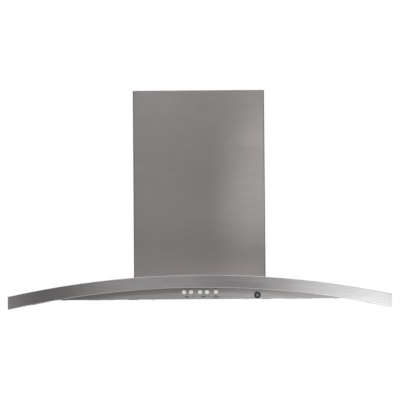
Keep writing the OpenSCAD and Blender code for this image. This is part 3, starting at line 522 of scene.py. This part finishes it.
def turned(profile, steps):
    """Spins a profile of (radius, height), in mm, round Z."""
    bm = bmesh.new()
    line = [bm.verts.new((r * MM, 0, h * MM)) for r, h in profile]
    edges = [bm.edges.new(pair) for pair in zip(line, line[1:])]
    bmesh.ops.spin(
        bm, geom=line + edges, cent=(0, 0, 0), axis=(0, 0, 1), angle=2 * math.pi, steps=steps,
        use_merge=True,
    )
    bmesh.ops.remove_doubles(bm, verts=bm.verts, dist=SAME_PLACE)
    bmesh.ops.recalc_face_normals(bm, faces=bm.faces)
    return bm


def block(low, high, ease, segments=2):
    """A block from one corner to the other, in mm, with eased edges."""
    bm = bmesh.new()
    size = [(b - a) * MM for a, b in zip(low, high)]
    middle = [(a + b) / 2 * MM for a, b in zip(low, high)]
    bmesh.ops.create_cube(bm, size=1.0, matrix=Matrix.Translation(middle) @ Matrix.Diagonal((*size, 1.0)))
    ease_edges(bm, ease, segments)
    return bm


def arc(centre, radius, start, end, steps):
    """Points of an arc in a profile, angles in degrees."""
    angles = [math.radians(start + (end - start) * i / steps) for i in range(steps + 1)]
    return [(centre[0] + radius * math.cos(a), centre[1] + radius * math.sin(a)) for a in angles]


def cross_screw(head_r, head_h, shank_r, length):
    """A domed screw with a cross recess; its head's face is at 0 and its tip above."""
    arm, slot_w = 0.52 * head_r, 0.15 * head_r
    bm = turned(
        [(0.62 * head_r, 0.03 * head_h), (0.82 * head_r, 0.2 * head_h), (0.95 * head_r, 0.5 * head_h),
         (head_r, 0.85 * head_h), (head_r, head_h), (shank_r, head_h), (shank_r, head_h + length - 0.5),
         (0.6 * shank_r, head_h + length), (0, head_h + length)], 24,
    )

    def draw_in(place):
        rim = [e for e in bm.edges if e.is_boundary]
        grown = bmesh.ops.extrude_edge_only(bm, edges=rim)["geom"]
        for v in (g for g in grown if isinstance(g, bmesh.types.BMVert)):
            place(v)

    def to_cross(v):
        """Points near an arm of the cross go to its end, the others to the corner between two arms."""
        angle = math.atan2(v.co.y, v.co.x)
        quarter = round(angle / (math.pi / 2)) * math.pi / 2
        off = angle - quarter
        if abs(off) < math.radians(20):
            local = Vector((arm * MM, slot_w * MM * (off / math.radians(15)), 0))
        else:
            local = Vector((slot_w * MM, slot_w * MM * (1 if off > 0 else -1), 0))
        v.co = Matrix.Rotation(quarter, 3, "Z") @ local + Vector((0, 0, v.co.z))

    def to_floor(v):
        v.co = Vector((v.co.x * 0.8, v.co.y * 0.8, v.co.z + 0.6 * head_h * MM))

    draw_in(to_cross)
    draw_in(to_floor)
    bmesh.ops.edgeloop_fill(bm, edges=[e for e in bm.edges if e.is_boundary])
    bmesh.ops.remove_doubles(bm, verts=bm.verts, dist=SAME_PLACE)
    bmesh.ops.recalc_face_normals(bm, faces=bm.faces)
    return bm


def box_mm(node):
    """A node's lowest corner, its highest one and the middle between them, in mm."""
    low, high = (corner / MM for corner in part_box(node))
    return low, high, (low + high) / 2


# Sheet-metal pieces

# How wide each piece's edges are rounded
EASED = {
    "upper_cover_front": 0.3, "upper_cover_rear": 0.3,
    "liner_left": 0.3, "liner_right": 0.3, "front_fascia": 0.4, "rear_fascia": 0.4,
    "side_panel_left": 0.4, "side_panel_right": 0.4, "bottom_pan": 0.35, "base_ring": 0.4,
    "rail_left": 0.5, "rail_right": 0.5, "ceiling_plate": 0.5, "upper_legs": 0.5, "lower_legs": 0.5,
    "blower_box": 0.3, "motor_bracket": 0.4, "junction_box": 0.5, "junction_cover": 0.5,
    "outlet_collar": 0.3, "damper_flap_left": 0.25, "damper_flap_right": 0.25, "damper_pin": 0.4,
    "control_box": 0.6, "switch_bank": 0.3, "circuit_board": 0.25, "scroll": 0.5,
    "filter_frame_left": 0.7, "filter_frame_right": 0.7, "filter_baffles_left": 0.3,
    "filter_baffles_right": 0.3, "height_bolts": 0.35, "motor_shaft": 0.5,
}
for node, width in EASED.items():
    eased(node, width)

# How much higher the lower covers' top edge stands than in the source, so that no gap shows there
COVER_RISE = 2.4
COVER_EASE = 0.3
for node in ("lower_cover_front", "lower_cover_rear"):
    bm = merged_copy(node)
    ease_edges(bm, COVER_EASE)
    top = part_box(node)[1].z
    for v in bm.verts:
        if v.co.z > top - 1.0 * MM:
            v.co.z += COVER_RISE * MM
    add_piece(node + "_eased", bm, "chimney_steel", "hood", (node,))

CANOPY_X, CANOPY_Y, CROWN = CANOPY_HIGH / MM
ARCH_RISE = 48
ARCH_R = (CANOPY_X ** 2 + ARCH_RISE ** 2) / (2 * ARCH_RISE)
ARCH_CENTRE_Z = CROWN - ARCH_R
BAND_H = 30
HEM_EASE = 1.7
CORNER_EASE = 0.4
FOLD_R = 2.4
FOLD_SHARPER = 0.45


def arch_drop(x, z):
    """How far a point lies below the arch of the canopy's top."""
    return ARCH_R - math.hypot(x, z - ARCH_CENTRE_Z)


def arch_z(x, drop):
    """The height of a point that lies so far below the arch."""
    return ARCH_CENTRE_Z + math.sqrt((ARCH_R - drop) ** 2 - x * x)


def under_band(edge):
    """True on the outer bottom edge of the band, where the hem is folded in."""
    x, y, z = sum((v.co for v in edge.verts), Vector()) / 2 / MM
    outside = abs(y) > CANOPY_Y - 0.1 or abs(x) > CANOPY_X - 0.1
    return outside and arch_drop(x, z) > BAND_H - 0.2


def sharpen_fold(bm):
    """Draws the outside of the fold between the canopy's top and its long bands to its corner."""
    for v in bm.verts:
        x, y, z = v.co / MM
        inward, drop = CANOPY_Y - abs(y), arch_drop(x, z)
        off_arc = abs(math.hypot(inward - FOLD_R, drop - FOLD_R) - FOLD_R)
        if max(inward, drop) < FOLD_R + 0.1 and off_arc < 0.15:
            v.co.y = math.copysign(CANOPY_Y - inward * FOLD_SHARPER, y) * MM
            v.co.z = arch_z(x, drop * FOLD_SHARPER) * MM


bm = merged_copy("canopy_shell")
sharpen_fold(bm)
ease_edges(bm, HEM_EASE, 4, under_band)
ease_edges(bm, CORNER_EASE)
add_piece("canopy", bm, "canopy_steel", "hood", ("canopy_shell",))

# Controls

BUTTONS = 5
BUTTON_R = 5.25
COLLAR_R = 6.3


def button_profile(length):
    """From the button's back, over the collar that stops it, to its domed face."""
    return [
        (0, 0), (BUTTON_R, 0), (BUTTON_R, 7.9), (COLLAR_R - 0.15, 7.9), (COLLAR_R, 8.05),
        (COLLAR_R, 9.25), (COLLAR_R - 0.15, 9.4), (BUTTON_R, 9.4), (BUTTON_R, length - 1.3),
        (BUTTON_R - 0.06, length - 0.95), (BUTTON_R - 0.26, length - 0.64),
        (BUTTON_R - 0.6, length - 0.42), (BUTTON_R - 1.15, length - 0.3), (3.0, length - 0.16),
        (1.5, length - 0.04), (0, length),
    ]


# A raised rim round a shallow dish, with a small boss in its middle
BADGE_PROFILE = [
    (0, 0), (7.75, 0), (7.75, 1.05), (7.66, 1.32), (7.45, 1.52), (7.15, 1.6), (6.55, 1.6), (6.3, 1.52),
    (6.15, 1.35), (6.05, 1.05), (5.8, 0.98), (4.0, 1.0), (1.2, 1.02), (1.0, 1.15), (0.6, 1.25), (0, 1.28),
]


def on_front(shape, node):
    """Turns a shape to the front and stands it on the node's back face."""
    low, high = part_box(node)
    return placed(shape, ((low.x + high.x) / 2, high.y, (low.z + high.z) / 2), TO_FRONT)


for number in range(1, BUTTONS + 1):
    node = "button_%d" % number
    low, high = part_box(node)
    shape = turned(button_profile((high.y - low.y) / MM), 48)
    add_piece(node + "_cap", on_front(shape, node), "button_white", "push_" + node, (node,))

add_piece("badge_disc", on_front(turned(BADGE_PROFILE, 64), "badge"), "badge_metal", "hood", ("badge",))

FASCIA_LOW = box_mm("front_fascia")[0]
FASCIA_Y = FASCIA_LOW.y
MARK_Z = FASCIA_LOW.z + 6
MARK_RAISED = 0.12
MARK_SUNK = 0.3


def mark(x, z, w, h):
    """A printed bar on the fascia, by its middle, width and height."""
    front, back = FASCIA_Y - MARK_RAISED, FASCIA_Y + MARK_SUNK
    return block((x - w / 2, front, z - h / 2), (x + w / 2, back, z + h / 2), 0.05, 1)


def ring_mark(x, z, inner, outer):
    """A printed ring, or a dot where its inner radius is 0."""
    thick = MARK_RAISED + MARK_SUNK
    shape = turned([(inner, 0), (outer, 0), (outer, thick), (inner, thick), (inner, 0)], 28)
    return placed(shape, (x * MM, (FASCIA_Y + MARK_SUNK) * MM, z * MM), TO_FRONT)


LAMP_MARK_X = 37.5
marks = [mark(-34.0 + 2.8 * i, MARK_Z, 1.8, 3.0 + 0.9 * i) for i in range(3)]
marks += [mark(3.2 + 2.8 * i, MARK_Z, 1.8, 2.6 + 0.7 * i) for i in range(4)]
marks += [ring_mark(x, MARK_Z + 0.8, 0.0, 1.3) for x in (-16.0, 19.5)]
marks += [ring_mark(LAMP_MARK_X, MARK_Z - 1.2, 1.9, 3.4), mark(LAMP_MARK_X, MARK_Z + 2.1, 1.5, 3.0)]
marks += [mark(LAMP_MARK_X + side * 6.6, MARK_Z - 1.2, 3.4, 1.6) for side in (-1, 1)]
add_piece("button_marks", gather(marks), "black_plastic", "hood")

# Lamps

LAMPS = ["lamp_housing_%d" % number for number in range(1, 5)]
PAN_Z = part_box("bottom_pan")[0].z / MM
BULB_UP = 6.8

# The bezel under the pan, the cup's wall, its top with the groove of a knockout, and back inside
LAMP_PROFILE = (
    [(25.0, 0.0), (25.0, -0.9)] + arc((25.6, -0.9), 0.6, 180, 270, 4)
    + [(27.2, -1.5), (27.5, -1.3), (27.8, -1.3), (28.1, -1.5)] + arc((33.8, -0.3), 1.2, 270, 360, 6)
    + [(35.0, 0.0), (30.0, 0.0), (30.0, 14.3)] + arc((29.3, 14.3), 0.7, 0, 90, 4)
    + [(6.0, 15.0), (6.0, 14.4), (5.0, 14.4), (5.0, 15.0), (0, 15.0), (0, 14.0)]
    + [(28.4, 14.0), (29.0, 13.4), (29.0, 0.0), (25.0, 0.0)]
)
GLASS_PROFILE = [
    (0, 0.35), (12, 0.32), (20, 0.22), (23, 0.1), (24.2, 0.0), (28.2, 0.0), (28.6, 0.3), (28.7, 0.7),
    (28.7, 1.9), (28.5, 2.3), (28.0, 2.5), (24.0, 2.5), (23.0, 2.2), (12, 2.0), (0, 1.95),
]
CAPSULE_PROFILE = (
    [(0, -9.0), (2.4, -9.0), (3.2, -8.4), (3.9, -7.0), (4.0, -6.0), (4.0, 5.2)]
    + arc((0.6, 5.2), 3.4, 0, 68, 5) + [(0.9, 8.6), (0.5, 9.0), (0, 9.0)]
)

for number, node in enumerate(LAMPS, 1):
    at = box_mm(node)[2] * MM
    at.z = PAN_Z * MM
    shape = placed(turned(LAMP_PROFILE, 72), at)
    add_piece("lamp_bezel_%d" % number, shape, "lamp_chrome", "hood", (node,))
    shape = placed(turned(GLASS_PROFILE, 72), at)
    add_piece("lamp_glass_%d" % number, shape, "lamp_glass", "hood", ("lamp_lens_%d" % number,))


def bulb_in(node):
    """A capsule that lies along X, with its ceramic base and two pins."""
    x, y = box_mm(node)[2].xy
    z = PAN_Z + BULB_UP
    capsule = placed(turned(CAPSULE_PROFILE, 32), (x * MM, y * MM, z * MM), TO_RIGHT)
    base = block((x - 13.5, y - 4.5, z - 3.4), (x - 7.5, y + 4.5, z + 7.2), 0.8)
    pins = [
        block((x - 9.4, y + off - 0.5, z - 0.5), (x - 6.6, y + off + 0.5, z + 0.5), 0.1, 1)
        for off in (-2.2, 2.2)
    ]
    return [capsule, base] + pins


bulbs = [shape for node in LAMPS for shape in bulb_in(node)]
add_piece("capsule_bulbs", gather(bulbs), "bulb_glass", "hood", ("lamp_bulbs",))

# Screws

HEAD_R, HEAD_H, SHANK_R = 3.5, 1.3, 1.9
COVER_HEAD_R, COVER_SHANK_R = 2.5, 1.2
SCREW_L = 5.35
CEILING_SCREW_L = 6.0
PAN_SCREW_X, PAN_SCREW_Y = (-320, -110, 110, 320), 302.8
COVER_SCREW_X, COVER_SCREW_Y = 156.4, 62
CANOPY_SHEET = 1.2


def screw_at(sizes, x, y, z, turn=None):
    """A screw of the given head radius and height, shank radius and length, at a place in mm."""
    return placed(cross_screw(*sizes), (x * MM, y * MM, z * MM), turn)


pan_screw = (HEAD_R, HEAD_H, SHANK_R, SCREW_L)
shapes = []
for x in PAN_SCREW_X:
    shapes += [screw_at(pan_screw, x, y, PAN_Z - HEAD_H) for y in (-PAN_SCREW_Y, PAN_SCREW_Y)]
cover_screw = (COVER_HEAD_R, HEAD_H, COVER_SHANK_R, SCREW_L)
cover_screw_z = arch_z(COVER_SCREW_X + COVER_HEAD_R, CANOPY_SHEET) - 0.1 - HEAD_H
for x in (-COVER_SCREW_X, COVER_SCREW_X):
    shapes += [screw_at(cover_screw, x, y, cover_screw_z) for y in (-COVER_SCREW_Y, COVER_SCREW_Y)]
add_piece("pan_and_cover_screws", gather(shapes), "screw_steel", "hood", ("housing_screws",))

ceiling_screw = (HEAD_R, HEAD_H, SHANK_R, CEILING_SCREW_L)
low, high, middle = box_mm("upper_cover_screws")
shapes = []
for x, turn in ((low.x, TO_RIGHT), (high.x, TO_LEFT)):
    for y in (-COVER_SCREW_Y, COVER_SCREW_Y):
        shapes.append(screw_at(ceiling_screw, x, y, middle.z, turn))
add_piece("ceiling_cover_screws", gather(shapes), "screw_steel", "ceiling_frame", ("upper_cover_screws",))

# Blower

SHAFT_BORE = 4.05
MOTOR_R = 36.4
FIN_R = 38.0
FINS = 7
FIN_PITCH = 5.6


def motor_profile():
    """The case from its shaft end to its closed end, with cooling fins, and the bore for the shaft."""
    profile = [
        (SHAFT_BORE, 0), (9, 0), (9, 1.2), (14, 1.6), (24, 2.0), (31, 3.4), (35.2, 6.6), (MOTOR_R, 9.0),
    ]
    for start in (12 + FIN_PITCH * i for i in range(FINS)):
        profile += [(MOTOR_R, start), (FIN_R, start + 0.5), (FIN_R, start + 2.2), (MOTOR_R, start + 2.7)]
    profile += [(MOTOR_R, 53.5), (35.2, 55.8), (31, 58.8), (24, 60.2), (12, 60.8), (11, 62), (0, 62)]
    return profile + [(0, 44), (SHAFT_BORE, 44), (SHAFT_BORE, 0)]


low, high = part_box("motor")
motor_end = (low.x, (low.y + high.y) / 2, (low.z + high.z) / 2)
shape = placed(turned(motor_profile(), 48), motor_end, TO_RIGHT)
add_piece("motor_case", shape, "motor_metal", "hood", ("motor",))

WHEEL_R = 60
WHEEL_HALF = 55
RING_INNER_R = 48
RING_THICK = 2
BLADES = 28
BLADE_L = 109.8
BLADE_THICK = 0.9
BLADE_ARC = arc((53.0, -6.4), 6.6, 152, 28, 8)
# The hub runs along the shaft and carries the disc in the wheel's middle
HUB_PROFILE = [
    (SHAFT_BORE, -16), (9.2, -16), (10, -15.2), (10, -3.4), (11.2, -2.0), (WHEEL_R, -2.0), (WHEEL_R, 0),
    (11, 0), (10, 0.8), (10, 1.6), (9.4, 2.0), (SHAFT_BORE, 2.0), (SHAFT_BORE, -16),
]


def curved_blades():
    """Forward-curved blades: one arc of sheet, run along the wheel and copied round it."""
    bm = bmesh.new()
    line = [bm.verts.new((r * MM, s * MM, -BLADE_L / 2 * MM)) for r, s in BLADE_ARC]
    edges = [bm.edges.new(pair) for pair in zip(line, line[1:])]
    grown = bmesh.ops.extrude_edge_only(bm, edges=edges)["geom"]
    far_end = [g for g in grown if isinstance(g, bmesh.types.BMVert)]
    bmesh.ops.translate(bm, vec=(0, 0, BLADE_L * MM), verts=far_end)
    bmesh.ops.recalc_face_normals(bm, faces=bm.faces)
    bmesh.ops.solidify(bm, geom=bm.faces[:], thickness=BLADE_THICK * MM)
    bmesh.ops.spin(
        bm, geom=bm.verts[:] + bm.edges[:] + bm.faces[:], cent=(0, 0, 0), axis=(0, 0, 1),
        angle=2 * math.pi * (BLADES - 1) / BLADES, steps=BLADES - 1, use_duplicate=True,
    )
    return bm


def end_ring(at):
    """A flat ring that holds the blades' ends, from the given place along the shaft on."""
    top = at + RING_THICK
    corners = [(RING_INNER_R, at), (WHEEL_R, at), (WHEEL_R, top), (RING_INNER_R, top)]
    return turned(corners + corners[:1], 72)


low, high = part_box("blower_wheel")
wheel = [curved_blades(), end_ring(-WHEEL_HALF), end_ring(WHEEL_HALF - RING_THICK), turned(HUB_PROFILE, 72)]
shape = placed(gather(wheel), (low + high) / 2, TO_RIGHT)
add_piece("wheel_with_blades", shape, "black_plastic", "fan", ("blower_wheel",), 40)

# The can's rolled rim, its wall, and the step up to the terminals
CAN_PROFILE = (
    [(0, 0), (11.6, 0)] + arc((12.6, 1.4), 1.4, 270, 360, 4)
    + [(14, 50.5), (13.4, 52.2), (11.8, 53.0), (9, 53.2), (9, 55), (0, 55)]
)
TAB_OFF = 4.5


def terminal_tab(x, y, foot_z):
    """A flat connector tab that stands out of the can's top."""
    return block((x - 0.4, y - 3, foot_z + 52), (x + 0.4, y + 3, foot_z + 61), 0.15, 1)


low, high, middle = box_mm("capacitor")
can = placed(turned(CAN_PROFILE, 48), (middle.x * MM, middle.y * MM, low.z * MM))
tabs = [terminal_tab(middle.x + off, middle.y, low.z) for off in (-TAB_OFF, TAB_OFF)]
add_piece("capacitor_can", gather([can] + tabs), "capacitor_plastic", "hood", ("capacitor",))

CASE_IN, CASE_ROUND = 8, 2.0
FOOT_IN, FOOT_L, FOOT_H = 6, 10, 3
RIBS, RIB_IN, RIB_PITCH, RIB_W = 10, 14, 6, 2
low, high = box_mm("transformer")[:2]
case = block((low.x + CASE_IN, low.y, low.z + 0.2), (high.x - CASE_IN, high.y, high.z), CASE_ROUND, 3)
feet = [
    block((x, low.y + FOOT_IN, low.z), (x + FOOT_L, high.y - FOOT_IN, low.z + FOOT_H), 0.8)
    for x in (low.x, high.x - FOOT_L)
]
ribs = [
    block((x, low.y, low.z + 4), (x + RIB_W, high.y, high.z + 0.6), 0.5)
    for x in (low.x + RIB_IN + RIB_PITCH * i for i in range(RIBS))
]
add_piece("transformer_case", gather([case] + feet + ribs), "black_plastic", "hood", ("transformer",))

# Filter latches

LATCH_EASE = 0.5
RIDGES = 4
RIDGE_PITCH = 2.0
# From the front of the filter's frame to the middle of the first ridge
FIRST_RIDGE = 9.5


def grip_ridge(x, y, z):
    """A ridge across the slide's underside, for the fingers."""
    return block((x - 11.5, y - 0.45, z - 0.5), (x + 11.5, y + 0.45, z + 0.6), 0.3)


for side in ("left", "right"):
    node = "filter_latch_" + side
    low, high, middle = box_mm(node)
    first_y = box_mm("filter_frame_" + side)[0].y + FIRST_RIDGE
    bm = merged_copy(node)
    ease_edges(bm, LATCH_EASE)
    for i in range(RIDGES):
        join(bm, grip_ridge(middle.x, first_y + RIDGE_PITCH * i, low.z))
    add_piece("latch_slide_" + side, bm, "latch_metal", "latch_" + side, (node,))

# Studio

FLOOR_Z = -1.6
FLOOR_R = 3.6
DOME_R = 9.0


def studio_material(name, build):
    material = bpy.data.materials.new(name)
    material.use_nodes = True
    material.node_tree.nodes.clear()
    t = Tree(material.node_tree)
    out = t.add("ShaderNodeOutputMaterial")
    t.join(build(t), out.inputs["Surface"])
    return material


def studio_object(name, bm, surface):
    """Adds a bmesh as one object of the studio, with a material of its own."""
    mesh = bpy.data.meshes.new(name)
    bm.to_mesh(mesh)
    bm.free()
    mesh.materials.append(studio_material(name, surface))
    obj = bpy.data.objects.new(name, mesh)
    bpy.context.scene.collection.objects.link(obj)
    return obj


def floor_surface(t):
    """Pale paint that fades out towards the rim and isn't there from below."""
    paint = t.add("ShaderNodeBsdfDiffuse")
    paint.inputs["Color"].default_value = (0.86, 0.86, 0.86, 1)
    clear = t.add("ShaderNodeBsdfTransparent")
    geometry = t.add("ShaderNodeNewGeometry")
    reach = t.length(t.vector("MULTIPLY", geometry.outputs["Position"], (1.0, 1.0, 0.0)))
    rim = t.span(reach, FLOOR_R * 0.45, FLOOR_R * 0.98)
    hidden = t.math("MAXIMUM", rim, geometry.outputs["Backfacing"])
    mix = t.add("ShaderNodeMixShader")
    for socket, value in zip(mix.inputs, (hidden, paint.outputs[0], clear.outputs[0])):
        t.join(value, socket)
    return mix.outputs[0]


def dome_surface(t):
    """A grey studio: nearly dark in front, lighter behind and above, with a pale card far behind."""
    glow = t.add("ShaderNodeEmission")
    geometry = t.add("ShaderNodeNewGeometry")
    right, back, up = t.parts(t.vector("NORMALIZE", geometry.outputs["Position"]))
    behind = t.span(back, -0.1, 0.6, 0.012, 0.75)
    above = t.span(up, 0.3, 0.9, 0.0, 0.6)
    beside = t.span(t.math("ABSOLUTE", right), 0.5, 0.85, 0.0, 0.4)
    card = t.span(back, 0.86, 0.96, 0.0, 0.5)
    level = t.math("ADD", t.math("MAXIMUM", behind, beside), t.math("ADD", above, card))
    t.join(level, glow.inputs["Strength"])
    return glow.outputs[0]


def softbox(name, place, aim, size, watts, tint):
    """A rectangular light that the camera doesn't see, turned from its place to its aim."""
    light = bpy.data.lights.new(name, "AREA")
    light.shape = "RECTANGLE"
    light.size, light.size_y = size
    light.energy = watts
    light.color = tint
    obj = bpy.data.objects.new(name, light)
    bpy.context.scene.collection.objects.link(obj)
    obj.location = place
    obj.rotation_euler = (Vector(aim) - Vector(place)).to_track_quat("-Z", "Y").to_euler()
    obj.visible_camera = False


world = bpy.data.worlds.new("studio")
bpy.context.scene.world = world
world.use_nodes = True
t = Tree(world.node_tree)
background = world.node_tree.nodes["Background"]
path = t.add("ShaderNodeLightPath")
seen = t.math("MAXIMUM", path.outputs["Is Camera Ray"], path.outputs["Is Glossy Ray"])
seen = t.math("MAXIMUM", seen, path.outputs["Is Transmission Ray"])
background.inputs["Color"].default_value = (1, 1, 1, 1)
t.join(t.span(seen, 0.0, 1.0, 0.5, 1.0), background.inputs["Strength"])

bm = bmesh.new()
bmesh.ops.create_circle(
    bm, cap_ends=True, segments=96, radius=FLOOR_R, matrix=Matrix.Translation((0, 0, FLOOR_Z))
)
floor = studio_object("floor", bm, floor_surface)

bm = bmesh.new()
bmesh.ops.create_uvsphere(bm, u_segments=48, v_segments=24, radius=DOME_R)
bmesh.ops.reverse_faces(bm, faces=bm.faces)
dome = studio_object("grey_tent", bm, dome_surface)
dome.visible_camera = False
dome.visible_diffuse = False
dome.visible_shadow = False
dome.visible_transmission = False
dome.visible_volume_scatter = False

WHITE = (1.0, 1.0, 1.0)
COOL = (0.965, 0.982, 1.0)
COOLER = (0.93, 0.965, 1.0)
# Name, place, where it points, width and height in metres, watts, tint
SOFTBOXES = [
    ("far_left", (-0.70, -1.35, -0.50), (-0.70, 0, -0.50), (0.30, 0.50), 0.32, WHITE),
    ("left", (-0.145, -1.35, -0.52), (-0.145, 0, -0.52), (0.35, 0.44), 0.17, WHITE),
    ("left_upper", (-0.20, -1.35, 0.00), (-0.20, 0, 0.00), (0.40, 0.65), 0.225, WHITE),
    ("right", (0.37, -1.35, -0.70), (0.37, 0, -0.70), (0.20, 0.50), 0.325, COOL),
    ("far_right", (0.473, -1.35, -0.70), (0.473, 0, -0.70), (0.184, 0.50), 0.67, COOLER),
    ("patch", (0.13, -0.95, -0.24), (0.13, 0, -0.24), (0.10, 0.10), 0.07, WHITE),
    ("right_upper", (0.20, -0.95, -0.15), (0.20, 0, -0.15), (0.12, 0.30), 0.092, WHITE),
    ("front_high", (0.15, -1.90, 0.95), (0.15, -0.3, -0.49), (1.20, 0.30), 5.4, WHITE),
    ("under_strip", (0.30, -0.75, -1.45), (0.25, -0.33, -0.50), (1.40, 0.50), 1.0, WHITE),
    ("low_right", (0.60, -1.50, -1.15), (0.25, -0.3, -0.49), (0.70, 0.45), 4.1, WHITE),
]
for name, place, aim, size, watts, tint in SOFTBOXES:
    softbox(name, place, aim, size, watts, tint)
